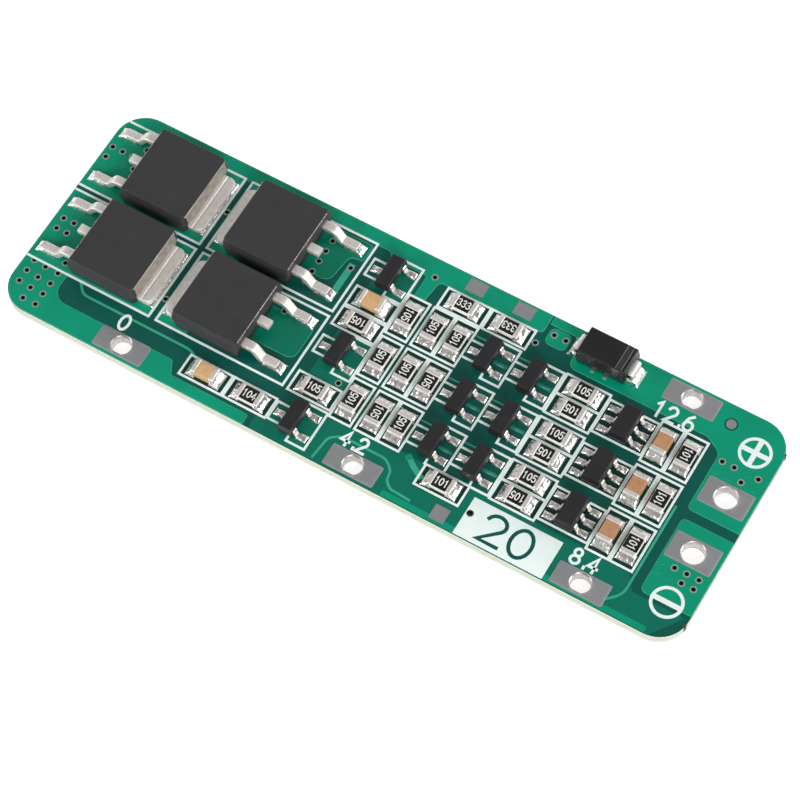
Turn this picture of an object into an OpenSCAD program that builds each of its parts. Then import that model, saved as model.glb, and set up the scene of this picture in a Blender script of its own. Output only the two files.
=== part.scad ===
// Battery management board for a three-cell pack. A long printed circuit board carries four power
// transistors, a rectifier diode, three driver transistors, three identical cell channels of small
// parts, and six plated solder terminals. The board's outline follows from what stands on it.
// Millimetres. The origin is the middle of the board's underside, +X runs along the board towards
// the output terminals, +Y runs towards the back edge, and +Z is up.

/* [Board] */
// Thickness of the laminate
board_t = 1.0; // [0.8:0.1:1.6]
// Radius of the board's corners
corner_r = 2.5; // [1:0.1:2.8]
// Distance from the back edge to the middle of the back cell channel
channel_edge_y = 5.75; // [5.7:0.05:7]
// Depth of the strip in front of the parts, where the cell taps sit
front_strip_w = 2.17; // [2:0.01:3]
// Gap between the last column of parts and the output pads
output_gap = 1.31; // [0.8:0.01:3]

/* [Terminals] */
// Bore of a cell-tap terminal
tap_hole_d = 1.6; // [1:0.05:1.7]
// Length of a cell-tap pad, along the board's edge
tap_pad_l = 4.35; // [3:0.05:4.4]
// Depth of a cell-tap pad, in from the board's edge
tap_pad_w = 1.9; // [1.85:0.05:2]
// Bare laminate left between a tap pad and the board's edge
tap_edge_gap = 0.25; // [0.1:0.05:0.35]
// Bore of an output terminal
output_hole_d = 1.8; // [1.2:0.05:2]
// Length of an output pad, in from the board's end
output_pad_l = 3.8; // [3:0.05:3.9]
// Width of an output pad, along the board's end
output_pad_w = 2.3; // [2.2:0.05:2.6]
// Bare laminate left between an output pad and the board's end
output_edge_gap = 0.35; // [0.2:0.05:0.5]
// Spacing of the two output terminals
output_pitch = 5.15; // [4.4:0.05:5.4]
// How far the pair of outputs sits behind the board's middle
output_shift = 0.08; // [0:0.01:0.2]
// Thickness of the tinned metal of the pads
plating_t = 0.05; // [0.03:0.01:0.08]
// Distance of the return terminal from the board's left end
return_tap_x = 10.85; // [9:0.05:12]
// How far the first cell tap sits to the left of the first divider resistor
first_tap_shift = 0.5; // [0:0.05:1]
// Gap between the white rating field and the second cell tap
label_tap_gap = 0.48; // [0.3:0.02:1]

/* [Test pads] */
// Side of the square test pad by the front edge
test_pad_l = 1.25; // [1:0.05:1.3]
// Gap between the square test pad and the front edge
test_edge_gap = 0.32; // [0.2:0.02:0.5]
// How far the square test pad sits to the right of the shunt resistor
test_shift = 1.05; // [0.5:0.05:1.2]
// Length of the two pads by the back edge
strip_pad_l = 1.6; // [1:0.05:1.7]
// Width of the two pads by the back edge
strip_pad_w = 1.2; // [1:0.05:1.3]
// Gap between those two pads and the back edge
strip_edge_gap = 0.2; // [0.1:0.05:0.4]
// Spacing of those two pads
strip_pitch = 4.18; // [3:0.01:5]
// Radius of the round probe dot by the third cell tap
probe_r = 0.4; // [0.3:0.05:0.5]
// Distance from the third cell tap to the probe dot, along the board
probe_run = 3.5; // [3.2:0.1:4]
// Distance from the back edge to the probe dot
probe_edge_y = 1.6; // [1:0.05:2]

/* [Vias] */
// Open bore of a via
via_d = 0.36; // [0.25:0.01:0.4]
// Outer diameter of the ring round a via
via_ring_d = 0.56; // [0.5:0.01:0.6]
// Thickness of the metal that lines a via
via_lining_t = 0.05; // [0.03:0.01:0.06]
// Spacing of the vias beside the output terminals and the diode
via_pitch = 1.0; // [0.8:0.05:1.05]
// Spacing of the vias beside the power transistors
fet_via_pitch = 1.03; // [0.9:0.01:1.05]
// Gap between an output pad and the nearest row of vias
output_via_gap = 0.55; // [0.4:0.05:0.7]
// Distance of the first vias from the board's left end
via_edge_x = 0.5; // [0.45:0.05:0.7]

/* [Solder] */
// Thickness of the solder film that parts stand on
solder_t = 0.05; // [0.03:0.01:0.08]
// How far a joint runs out past the lead or cap it holds
toe_l = 0.5; // [0.35:0.05:0.55]
// The same past a power transistor's lead
fet_toe_l = 0.55; // [0.4:0.05:0.65]
// The same past a power transistor's tab
tab_toe_l = 0.15; // [0.05:0.05:0.2]
// How far a pad shows past each side of its lead
pad_side = 0.12; // [0.05:0.01:0.15]
// Share of a chip's height that its solder climbs
chip_climb = 0.7; // [0.3:0.1:0.9]

/* [Printed legend] */
// Height of the printed legend above the board
print_t = 0.03; // [0.02:0.01:0.05]
// Width of a printed line
print_w = 0.2; // [0.12:0.01:0.24]
// Gap between two printed frames, line middle to line middle
print_gap = 0.18; // [0.14:0.01:0.22]
// Bare laminate left between a printed line and the board's edge
print_edge_gap = 0.05; // [0.02:0.01:0.1]
// Distance from a chip's end to the middle of the line past it
chip_frame_end = 0.875; // [0.8:0.005:1]
// Distance from a chip's side to the middle of the line beside it
chip_frame_side = 0.29; // [0.25:0.01:0.35]
// Distance from a small lead's tip to the middle of the line past it
lead_frame_end = 0.7; // [0.65:0.01:0.8]
// Distance from a small lead's side to the middle of the line beside it
lead_frame_side = 0.59; // [0.5:0.01:0.65]
// Distance from the end of a six-lead body to the middle of the line past it
monitor_frame_end = 0.05; // [0.02:0.01:0.1]
// Distance from a power transistor's side to the middle of the line beside it
fet_frame_side = 0.125; // [0.1:0.005:0.15]
// Distance from a power transistor's tab to the middle of the line past it
fet_frame_tab = 0.25; // [0.2:0.01:0.3]
// Distance from a power transistor's lead tip to the middle of the line past it
fet_frame_end = 1.05; // [0.9:0.05:1.15]
// Length of the white rating field
label_l = 7.5; // [6:0.1:7.5]
// Depth of the white rating field
label_w = 3.35; // [2.5:0.05:3.4]
// Gap between the white rating field and the front edge
label_edge_gap = 0.1; // [0.05:0.05:0.3]
// Gap between the shunt resistor's frame and the white rating field
label_gap = 0.75; // [0.6:0.05:0.9]
// Outer radius of the round polarity marks
sign_r = 1.3; // [1:0.05:1.35]
// Width of the ring of a polarity mark
sign_ring_w = 0.25; // [0.2:0.01:0.3]
// Width of the bars of a polarity mark
sign_bar_w = 0.44; // [0.3:0.01:0.5]
// Distance of a polarity mark's middle from the board's right end
sign_edge_x = 2.1; // [1.8:0.05:2.3]
// Distance from an output bore to its polarity mark
sign_run = 4.4; // [4:0.05:4.6]

/* [Power transistors] */
// Length of the moulded body, from the tab side to the lead side
fet_l = 6.1; // [5.8:0.1:6.2]
// Width of the moulded body
fet_w = 6.6; // [6.2:0.1:6.7]
// Height of the moulded body
fet_h = 2.1; // [1.9:0.05:2.4]
// Radius of the body's corners on the tab side
fet_corner_r = 0.6; // [0.3:0.05:0.8]
// How far the drain tab stands out of the body
fet_tab_reach = 1.05; // [0.8:0.05:1.2]
// Width of the drain tab
fet_tab_w = 5.4; // [5:0.1:5.5]
// Size of the tab's cut corners
fet_tab_cut = 0.5; // [0.3:0.05:0.7]
// Thickness of the drain tab and of the leads
fet_metal_t = 0.5; // [0.45:0.01:0.55]
// Width of a lead
fet_lead_w = 0.76; // [0.6:0.02:0.9]
// Distance of an outer lead from the middle lead
fet_lead_pitch = 2.28; // [2.2:0.02:2.4]
// How far the leads reach past the body
fet_lead_reach = 2.95; // [2.75:0.05:3]
// Height of the leads' middle over the solder film, where they leave the body
fet_lead_z = 1.2; // [1.1:0.05:1.3]
// Length of a lead's flat foot
fet_foot_l = 1.2; // [1:0.05:1.3]
// How far the cropped middle lead stands out of the body
fet_stub_reach = 0.95; // [0.7:0.05:1.1]
// Distance from the board's left end to the leads of the left pair
fet_edge_x = 0.9; // [0.8:0.05:1]
// Distance from the board's back edge to the middle of the back pair
fet_edge_y = 4.65; // [4.5:0.05:4.7]
// Gap between the bodies of the front and back pairs
fet_row_gap = 0.75; // [0.6:0.05:1]
// Gap between the tabs of the left and right pairs
fet_tab_gap = 1.15; // [1:0.05:1.3]

/* [Small transistors] */
// Length of a three-lead body
sot_l = 2.9; // [2.8:0.05:3]
// Width of a three-lead body
sot_w = 1.3; // [1.2:0.05:1.4]
// Height of a three-lead body
sot_h = 1.0; // [0.9:0.05:1.1]
// Span of a three-lead part over its leads
sot_span = 2.4; // [2.3:0.05:2.5]
// Spacing of the two leads on one side
sot_pitch = 1.9; // [1.8:0.05:1.95]
// Width of a lead
sot_lead_w = 0.42; // [0.3:0.02:0.46]
// Length of a small lead's flat foot
sot_foot_l = 0.35; // [0.3:0.01:0.4]
// Thickness of the small parts' leads
small_lead_t = 0.13; // [0.1:0.01:0.16]
// Clear height of the small moulded bodies over the solder film
standoff = 0.08; // [0.05:0.01:0.12]

/* [Cell monitors] */
// Length of a six-lead body
ic_l = 2.9; // [2.8:0.05:2.95]
// Width of a six-lead body
ic_w = 1.6; // [1.5:0.05:1.7]
// Height of a six-lead body
ic_h = 1.05; // [0.9:0.05:1.2]
// Span of a six-lead part over its leads
ic_span = 2.8; // [2.7:0.05:2.9]
// Spacing of the leads on one side
ic_pitch = 0.95; // [0.9:0.01:1]
// Width of a six-lead part's lead
ic_lead_w = 0.36; // [0.3:0.02:0.42]
// Diameter of the dimple that marks the first lead
dimple_d = 0.3; // [0.2:0.05:0.4]
// Depth of that dimple
dimple_depth = 0.04; // [0.02:0.01:0.08]
// Distance from the body's end to that dimple
dimple_end = 0.45; // [0.35:0.05:0.6]

/* [Chip parts] */
// Length of a chip resistor or capacitor
chip_l = 2.0; // [1.9:0.05:2.1]
// Width of a chip resistor or capacitor
chip_w = 1.25; // [1.15:0.05:1.3]
// Height of a chip resistor
resistor_h = 0.5; // [0.4:0.05:0.6]
// Height of a chip capacitor
capacitor_h = 0.85; // [0.6:0.05:1.1]
// Length of the metal cap on each end of a chip
chip_end_l = 0.38; // [0.3:0.02:0.45]
// Thickness of the metal on a chip's ends
chip_end_t = 0.03; // [0.02:0.01:0.05]
// Thickness of the black glaze on a resistor
glaze_t = 0.02; // [0.01:0.01:0.03]
// White ceramic left bare beside the glaze
glaze_side = 0.03; // [0.02:0.01:0.06]

/* [Rectifier] */
// Length of the diode's body
diode_l = 4.3; // [4.1:0.05:4.4]
// Width of the diode's body
diode_w = 2.6; // [2.5:0.05:2.7]
// Height of the diode's body over its leads' feet
diode_h = 2.05; // [1.9:0.05:2.2]
// Span of the diode over its leads
diode_span = 5.1; // [5:0.05:5.2]
// Width of a diode lead
diode_lead_w = 1.45; // [1.3:0.05:1.6]
// Thickness of a diode lead
diode_lead_t = 0.2; // [0.15:0.01:0.25]
// Length of a diode lead's foot, turned in under the body
diode_foot_l = 1.2; // [1:0.05:1.4]
// Clear height of the body over the folded feet
diode_gap = 0.05; // [0.03:0.01:0.1]
// Distance of the diode's middle from the board's back edge
diode_edge_y = 1.6; // [1.5:0.05:1.7]
// How far the diode sits to the right of the channels' resistor pairs
diode_shift = 0.25; // [0:0.05:0.5]

/* [Layout] */
// Gap between the frames of two neighbouring cell channels
row_gap = 0.4; // [0.38:0.01:0.5]
// Gap between the first and second upright resistors of a channel
channel_gap = 0.39; // [0.3:0.01:0.4]
// Gap between the two resistors of a pair
pair_gap = 0.04; // [0.02:0.01:0.1]
// Gap between a monitor's frame and the frames beside it
monitor_gap = 0.1; // [0.08:0.01:0.2]
// How far the shunt resistor sits to the right of the switches' middle
shunt_shift = 0.4; // [0.2:0.05:0.6]
// Gap between the power transistors' frames and the driver column
driver_gap = 0.48; // [0.4:0.02:0.5]
// Distance of the front driver's middle from the board's front edge
driver_edge_y = 2.25; // [2.1:0.05:2.3]
// Gap between the front driver and the resistor behind it
gate_gap = 0.28; // [0.2:0.01:0.4]
// Gap that a via stands in, between that resistor and the middle driver
via_row_gap = 1.0; // [0.8:0.05:1.1]

/* [Hidden] */
$fn = 48;

// Colours
mask_green = "#0f7a63";
print_white = "#e9f3f1";
tin_grey = "#b9b9b6";
dull_tin = "#8d8a8a";
mould_black = "#2b2a2c";
alumina_white = "#e6e4dd";
glaze_black = "#1b1a1c";
ceramic_tan = "#b98f5f";
solder_silver = "#c9c7c2";

// Heights
seat_z = board_t + solder_t;         // top of the solder film that every part stands on
over = 1;                            // how far a cutting shape runs past what it cuts

// Pads, and the printed frames that stand round them
chip_pad_w = chip_w + 2 * pad_side;
frame_l = chip_l + 2 * chip_frame_end;
frame_w = chip_w + 2 * chip_frame_side;
sot_frame_l = sot_span + 2 * lead_frame_end;
sot_frame_w = sot_pitch + sot_lead_w + 2 * lead_frame_side;
sot_tail_w = sot_lead_w + 2 * lead_frame_side;
ic_frame_l = ic_span + 2 * lead_frame_end;
ic_frame_w = ic_l + 2 * monitor_frame_end;
fet_frame_w = fet_w + 2 * fet_frame_side;

// Power transistors: the body's middle is the local origin, and +X is the lead side
fet_tab_end = fet_l / 2 + fet_tab_reach;
fet_lead_end = fet_l / 2 + fet_lead_reach;

// Run of each column from the board's left end, counted on from the column before it
fet_left_run = fet_edge_x + fet_lead_end;
fet_right_run = fet_left_run + 2 * fet_tab_end + fet_tab_gap;
driver_run = fet_right_run + fet_lead_end + fet_frame_end + driver_gap;
upright_a_run = driver_run + frame_l + print_gap;
upright_b_run = upright_a_run + frame_w + channel_gap;
upright_c_run = upright_b_run + frame_w + print_gap;
switch_a_run = upright_c_run + frame_w;
switch_b_run = switch_a_run + sot_frame_l;
pair_run = switch_b_run + sot_frame_l + print_gap;
monitor_run = pair_run + frame_l + monitor_gap;
bypass_run = monitor_run + ic_frame_l + monitor_gap;
bleed_run = bypass_run + frame_w + print_gap;

// Steps between rows, middle to middle
channel_pitch = frame_l + row_gap;
transistor_chip_dy = (sot_frame_w + frame_w) / 2;
pair_dy = (frame_w + pair_gap) / 2;

// The board, as long and as wide as its columns and rows need
board_l = bleed_run + frame_w + output_gap + output_pad_l + output_edge_gap;
board_w = channel_edge_y + 2 * channel_pitch + transistor_chip_dy + frame_w / 2 + front_strip_w;
left_x = -board_l / 2;
right_x = board_l / 2;
front_y = -board_w / 2;
back_y = board_w / 2;

// Middles of the columns
fet_left_x = left_x + fet_left_run;
fet_right_x = left_x + fet_right_run;
driver_x = left_x + driver_run + frame_l / 2;
upright_x = [for (run = [upright_a_run, upright_b_run, upright_c_run]) left_x + run + frame_w / 2];
switch_x = [for (run = [switch_a_run, switch_b_run]) left_x + run + sot_frame_l / 2];
pair_x = left_x + pair_run + frame_l / 2;
monitor_x = left_x + monitor_run + ic_frame_l / 2;
bypass_x = left_x + bypass_run + frame_w / 2;
bleed_x = left_x + bleed_run + frame_w / 2;

// Rows of the power transistors and of the cell channels, back to front
fet_back_y = back_y - fet_edge_y;
fet_front_y = fet_back_y - fet_w - fet_row_gap;
channel_y = [for (row = [0:2]) back_y - channel_edge_y - row * channel_pitch];

// Rows of the driver column, front to back
driver_front_y = front_y + driver_edge_y;
gate_res_front_y = driver_front_y + transistor_chip_dy + gate_gap;
driver_middle_y = gate_res_front_y + transistor_chip_dy + via_row_gap;
gate_res_back_y = driver_middle_y + transistor_chip_dy + print_gap;
driver_cap_y = gate_res_back_y + frame_w + print_gap;
driver_back_y = driver_cap_y + transistor_chip_dy + print_gap;
driver_y = [driver_back_y, driver_middle_y, driver_front_y];

// Parts beside the columns
filter_res_x = driver_x - frame_l - print_gap;
filter_cap_x = filter_res_x - frame_l - print_gap;
divider_y = channel_y[0] + (frame_l + frame_w) / 2 + print_gap;
divider_left_x = upright_x[2] + (frame_w - frame_l) / 2;
divider_right_x = divider_left_x + frame_l + print_gap;
shunt_x = (switch_x[0] + switch_x[1]) / 2 + shunt_shift;
shunt_y = channel_y[2] - transistor_chip_dy;
diode_x = pair_x + diode_shift;
diode_y = back_y - diode_edge_y;

// Chip parts and three-lead parts: [x, y, turn] of each
driver_resistors = [
    [driver_x, gate_res_back_y, 0], [driver_x, gate_res_front_y, 0], [filter_res_x, driver_front_y, 0],
    [divider_left_x, divider_y, 0], [divider_right_x, divider_y, 180], [shunt_x, shunt_y, 0]
];
driver_capacitors = [[driver_x, driver_cap_y, 0], [filter_cap_x, driver_front_y, 0]];

function channel_resistors(row) = let(y = channel_y[row]) concat(
    [for (x = upright_x) [x, y, 90]],
    [[pair_x, y + pair_dy, 0], [pair_x, y - pair_dy, 180], [bleed_x, y, 90]]
);
function channel_capacitor(row) = [bypass_x, channel_y[row], 90];
all_resistors = concat(driver_resistors, [for (row = [0:2]) each channel_resistors(row)]);
all_capacitors = concat(driver_capacitors, [for (row = [0:2]) channel_capacitor(row)]);
all_small_transistors = concat(
    [for (y = driver_y) [driver_x, y, 0]],
    [for (y = channel_y, x = switch_x) [x, y, 0]]
);

// Power transistors: [x, y, turn] of each, with the leads of the left pair towards -X
fet_places = [
    [fet_left_x, fet_back_y, 180], [fet_left_x, fet_front_y, 180],
    [fet_right_x, fet_back_y, 0], [fet_right_x, fet_front_y, 0]
];

// The white rating field, and the terminals: [x, y] of each bore
label_x0 = shunt_x + frame_l / 2 + label_gap;
tap_front_y = front_y + tap_edge_gap + tap_pad_w / 2;
tap_back_y = back_y - tap_edge_gap - tap_pad_w / 2;
output_x = right_x - output_edge_gap - output_pad_l / 2;
return_at = [left_x + return_tap_x, tap_front_y];
first_tap_at = [divider_left_x - first_tap_shift, tap_front_y];
second_tap_at = [label_x0 + label_l + label_tap_gap + tap_pad_l / 2, tap_front_y];
third_tap_at = [second_tap_at[0], tap_back_y];
output_plus_at = [output_x, output_shift + output_pitch / 2];
output_minus_at = [output_x, output_shift - output_pitch / 2];
tap_places = [return_at, first_tap_at, second_tap_at, third_tap_at];
output_places = [output_plus_at, output_minus_at];

// Round polarity marks, one outside each output terminal
plus_sign_at = [right_x - sign_edge_x, output_plus_at[1] + sign_run];
minus_sign_at = [right_x - sign_edge_x, output_minus_at[1] - sign_run];

// Bare pads for a probe
strip_y = back_y - strip_edge_gap - strip_pad_w / 2;
strip_pads = [[divider_left_x, strip_y], [divider_left_x + strip_pitch, strip_y]];
test_pad_at = [shunt_x + test_shift, front_y + test_edge_gap + test_pad_l / 2];
probe_dot_at = [third_tap_at[0] + probe_run, back_y - probe_edge_y];

// Vias: [x, y] of each, in the groups they serve
lead_via_x = fet_l / 2 + 0.8;        // from a power transistor's middle to the vias under its leads
gate_via_run = 2.45;                 // from those vias to the single one beyond them
source_vias = concat(
    [for (k = [0:2]) [left_x + via_edge_x + k * fet_via_pitch * 0.9, fet_back_y + 0.75]],
    [[left_x + via_edge_x, fet_back_y + 0.75 - fet_via_pitch]],
    [for (y = [1.8, -0.2]) [fet_left_x - lead_via_x, fet_back_y + y]],
    [for (k = [0, 1], row = [0, 1]) [left_x + via_edge_x + 0.25 + k * fet_via_pitch * 0.93,
        fet_front_y + 0.68 - row * fet_via_pitch]]
);
drain_vias = concat(
    [for (y = [fet_back_y + 0.1, fet_front_y - 1.5]) [(fet_left_x + fet_right_x) / 2, y]],
    [for (k = [0:4]) [fet_right_x + lead_via_x, fet_back_y + 1.93 - k * fet_via_pitch]],
    [[fet_right_x + lead_via_x, fet_front_y + 2.12]],
    [[fet_right_x + lead_via_x + gate_via_run, fet_back_y + 0.55]]
);
// Three columns of them by the front left corner: [x from the end, y from the front edge, how many]
return_via_columns = [[0.85, 2.1, 3], [1.95, 0.95, 4], [3.1, 0.95, 5]];
return_vias = [for (c = return_via_columns, k = [0:c[2] - 1])
    [left_x + c[0], front_y + c[1] + k * (fet_via_pitch + 0.02)]];
// Two rows of them beside each output terminal: which places of the row are taken
output_via_x = output_x - 1.65 * via_pitch;
output_near = output_pad_w / 2 + output_via_gap;
output_far = output_near + 0.85 * via_pitch;
output_vias = concat(
    [for (k = [0, 1, 3]) [output_via_x + k * via_pitch, output_plus_at[1] + output_far]],
    [[output_via_x + 2 * via_pitch, output_plus_at[1] + output_near]],
    [for (k = [1, 2, 3]) [output_via_x + k * via_pitch, output_minus_at[1] - output_near]],
    [for (k = [2, 3]) [output_via_x + k * via_pitch, output_minus_at[1] - output_far]]
);
diode_via_x = diode_x - diode_span / 2 - toe_l - via_ring_d;
signal_vias = [
    [upright_x[0], back_y - probe_edge_y],
    [driver_x + frame_l / 3, gate_res_front_y + (frame_w + via_row_gap) / 2],
    [divider_right_x + frame_l / 2 + via_ring_d * 0.75, divider_y],
    [diode_via_x, diode_y + 0.1], [diode_via_x - via_pitch, diode_y + 0.1],
    [label_x0 + via_ring_d * 0.65, front_y + label_edge_gap + 0.6 * label_w]
];
via_places = concat(source_vias, return_vias, drain_vias, output_vias, signal_vias);

// Puts a part at [x, y, turn], with its own origin on the board's underside
module at(place) {
    translate([place[0], place[1], 0]) rotate(len(place) > 2 ? place[2] : 0) children();
}

// A moulded body: all four sides lean in by draft from the parting line to the top and the bottom
module moulded_block(l, w, h, part_z, draft) {
    intersection() {
        rotate([90, 0, 0]) linear_extrude(w + over, center = true) leaning_outline(l, h, part_z, draft);
        rotate([90, 0, 90]) linear_extrude(l + over, center = true) leaning_outline(w, h, part_z, draft);
    }
}

module leaning_outline(l, h, part_z, draft) {
    polygon([
        [-l / 2 + draft, 0], [l / 2 - draft, 0], [l / 2, part_z],
        [l / 2 - draft, h], [-l / 2 + draft, h], [-l / 2, part_z]
    ]);
}

// One edge of a lead bent down from its body to the board: side is +1 for the upper face and -1 for
// the lower. The middle line leaves x0 at height top, turns down round radius r at the given angle,
// and runs out flat along a foot that ends at tip.
bend_steps = 3;
function lead_edge(side, x0, tip, top, foot, t, r, angle) =
    let(
        fall = top - t / 2 - 2 * r * (1 - cos(angle)),
        run = 2 * r * sin(angle) + fall / tan(angle),
        x1 = tip - foot - run,
        x2 = tip - foot,
        d = side * t / 2
    )
    concat(
        [[x0, top + d]],
        [for (k = [0:bend_steps]) let(b = angle * k / bend_steps)
            [x1 + (r + d) * sin(b), top - r + (r + d) * cos(b)]],
        [for (k = [bend_steps:-1:0]) let(b = angle * k / bend_steps)
            [x2 - (r - d) * sin(b), t / 2 + r - (r - d) * cos(b)]],
        [[tip, t / 2 + d]]
    );

function reversed(list) = [for (k = [len(list) - 1:-1:0]) list[k]];

// A whole bent lead of width w, standing on z = 0 and running out along +X
module bent_lead(x0, tip, top, foot, t, w, r, angle) {
    rotate([90, 0, 0]) linear_extrude(w, center = true) polygon(concat(
        lead_edge(1, x0, tip, top, foot, t, r, angle),
        reversed(lead_edge(-1, x0, tip, top, foot, t, r, angle))
    ));
}

// Solder round the foot of a lead or the end of a chip: a film on the pad, and a hollow slope that
// climbs to height h on the end face at x = 0. The film reaches in by heel under the part.
slope_steps = 4;
lead_climb = 0.8;                    // share of a power lead's thickness that its solder climbs
tab_climb = 0.3;                     // the same on a drain tab and on a diode's broad lead
module solder_joint(heel, toe, w, h) {
    translate([0, 0, board_t]) rotate([90, 0, 0]) linear_extrude(w, center = true) polygon(concat(
        [[-heel, 0], [-heel, solder_t], [0, solder_t]],
        [for (k = [0:slope_steps]) let(b = 90 * k / slope_steps)
            [toe * (1 - cos(b)), solder_t / 2 + (h + solder_t / 2) * (1 - sin(b))]],
        [[toe, 0]]
    ));
}

// Board -------------------------------------------------------------------------------------------

// The board's outline, drawn in from its edge by inset
module board_outline(inset) {
    l = board_l - 2 * inset;
    w = board_w - 2 * inset;
    r = corner_r - inset;
    square([l - 2 * r, w], center = true);
    square([l, w - 2 * r], center = true);
    for (sx = [-1, 1], sy = [-1, 1]) translate([sx * (l / 2 - r), sy * (w / 2 - r)]) circle(r);
}

// A round hole of diameter d down through the board and its pads
module bore(d) {
    translate([0, 0, -over]) cylinder(h = board_t + 2 * over, d = d);
}

// The laminate, with every hole through it and a shallow bed under each terminal for its lower pad
module circuit_board() {
    color(mask_green) difference() {
        linear_extrude(board_t) board_outline(0);
        for (p = tap_places) at(p) terminal_cut(tap_hole_d, tap_pad_l, tap_pad_w);
        for (p = output_places) at(p) terminal_cut(output_hole_d, output_pad_l, output_pad_w);
        for (p = via_places) at(p) bore(via_d + 2 * via_lining_t);
    }
}

module terminal_cut(hole_d, l, w) {
    bore(hole_d);
    translate([-l / 2, -w / 2, plating_t - over]) cube([l, w, over]);
}

// A solder terminal: a tinned pad on each face of the board, round the same bore
module terminal(place, hole_d, l, w) {
    color(dull_tin) at(place) difference() {
        for (z = [0, board_t]) translate([-l / 2, -w / 2, z]) cube([l, w, plating_t]);
        bore(hole_d);
    }
}

module return_terminal() terminal(return_at, tap_hole_d, tap_pad_l, tap_pad_w);
module first_tap_terminal() terminal(first_tap_at, tap_hole_d, tap_pad_l, tap_pad_w);
module second_tap_terminal() terminal(second_tap_at, tap_hole_d, tap_pad_l, tap_pad_w);
module third_tap_terminal() terminal(third_tap_at, tap_hole_d, tap_pad_l, tap_pad_w);
module output_plus_terminal() terminal(output_plus_at, output_hole_d, output_pad_l, output_pad_w);
module output_minus_terminal() terminal(output_minus_at, output_hole_d, output_pad_l, output_pad_w);

module via_barrels() {
    color(tin_grey) for (p = via_places) at(p) difference() {
        union() {
            cylinder(h = board_t, d = via_d + 2 * via_lining_t);
            translate([0, 0, board_t]) cylinder(h = print_t, d = via_ring_d);
        }
        bore(via_d);
    }
}

module test_pads() {
    color(dull_tin) {
        for (p = strip_pads) at(p) translate([0, 0, board_t + plating_t / 2])
            cube([strip_pad_l, strip_pad_w, plating_t], center = true);
        at(test_pad_at) translate([0, 0, board_t + plating_t / 2])
            cube([test_pad_l, test_pad_l, plating_t], center = true);
        at(probe_dot_at) translate([0, 0, board_t]) cylinder(h = plating_t, r = probe_r);
    }
}

// Printed legend ------------------------------------------------------------------------------------

// A printed line between two corners [x, y], drawn as a box one line wide
module print_line(a, b) {
    low = [min(a[0], b[0]), min(a[1], b[1])];
    high = [max(a[0], b[0]), max(a[1], b[1])];
    translate([low[0] - print_w / 2, low[1] - print_w / 2])
        square([high[0] - low[0] + print_w, high[1] - low[1] + print_w]);
}

module print_frame(l, w) {
    difference() {
        square([l + print_w, w + print_w], center = true);
        square([l - print_w, w - print_w], center = true);
    }
}

// Open frame round a power transistor, up to the board's end or to a closing line
module fet_print(reach, closed) {
    tail = -fet_tab_end - fet_frame_tab;
    for (s = [-1, 1]) print_line([tail, s * fet_frame_w / 2], [reach, s * fet_frame_w / 2]);
    print_line([tail, -fet_frame_w / 2], [tail, fet_frame_w / 2]);
    if (closed) print_line([reach, -fet_frame_w / 2], [reach, fet_frame_w / 2]);
}

// Two brackets round the pads of a three-lead part, open where its body crosses them
bracket_in = 0.3;                    // how far the wider bracket starts from the body's middle
bracket_hook = 0.35;                 // length of the short stroke that ends it
module sot_print() {
    tail = -sot_frame_l / 2;
    head = sot_frame_l / 2;
    for (s = [-1, 1]) {
        print_line([tail, s * sot_tail_w / 2], [-sot_w / 2, s * sot_tail_w / 2]);
        print_line([bracket_in, s * sot_frame_w / 2], [head, s * sot_frame_w / 2]);
    }
    print_line([bracket_in, -sot_frame_w / 2], [bracket_in, -sot_frame_w / 2 + bracket_hook]);
    print_line([tail, -sot_tail_w / 2], [tail, sot_tail_w / 2]);
    print_line([head, -sot_frame_w / 2], [head, sot_frame_w / 2]);
}

module sign_print(minus_only) {
    difference() {
        circle(sign_r);
        circle(sign_r - sign_ring_w);
    }
    square([2 * sign_r - sign_ring_w, sign_bar_w], center = true);
    if (!minus_only) square([sign_bar_w, 2 * sign_r - sign_ring_w], center = true);
}

module legend_print() {
    color(print_white) translate([0, 0, board_t]) linear_extrude(print_t) difference() {
        intersection() {
            board_outline(print_edge_gap);
            legend_lines();
        }
        for (p = via_places) at(p) circle(d = via_ring_d);
    }
}

module legend_lines() {
    for (p = concat(all_resistors, all_capacitors)) at(p) print_frame(frame_l, frame_w);
    for (p = all_small_transistors) at(p) sot_print();
    for (y = channel_y) translate([monitor_x, y]) print_frame(ic_frame_l, ic_frame_w);
    for (k = [0, 1]) at(fet_places[k]) fet_print(fet_left_run, false);
    for (k = [2, 3]) at(fet_places[k]) fet_print(fet_lead_end + fet_frame_end, true);
    translate([label_x0, front_y + label_edge_gap]) square([label_l, label_w]);
    translate(plus_sign_at) sign_print(false);
    translate(minus_sign_at) sign_print(true);
}

// Solder --------------------------------------------------------------------------------------------

module chip_joints(h) {
    for (turn = [0, 180]) rotate(turn) translate([chip_l / 2, 0, 0])
        solder_joint(chip_end_l, toe_l, chip_pad_w, h * chip_climb);
}

module sot_joints() {
    w = sot_lead_w + 2 * pad_side;
    for (y = [-1, 1]) translate([sot_span / 2, y * sot_pitch / 2, 0])
        solder_joint(sot_foot_l, toe_l, w, small_lead_t);
    rotate(180) translate([sot_span / 2, 0, 0]) solder_joint(sot_foot_l, toe_l, w, small_lead_t);
}

module monitor_joints() {
    for (turn = [0, 180], k = [-1:1]) rotate(turn) translate([ic_span / 2, k * ic_pitch, 0])
        solder_joint(sot_foot_l, toe_l, ic_lead_w + 2 * pad_side, small_lead_t);
}

module fet_joints() {
    for (y = [-1, 1]) translate([fet_lead_end, y * fet_lead_pitch, 0])
        solder_joint(fet_foot_l, fet_toe_l, fet_lead_w + 2 * pad_side, fet_metal_t * lead_climb);
    rotate(180) translate([fet_tab_end, 0, 0])
        solder_joint(2 * fet_tab_reach + fet_l / 2, tab_toe_l, fet_tab_w, fet_metal_t * tab_climb);
}

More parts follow.
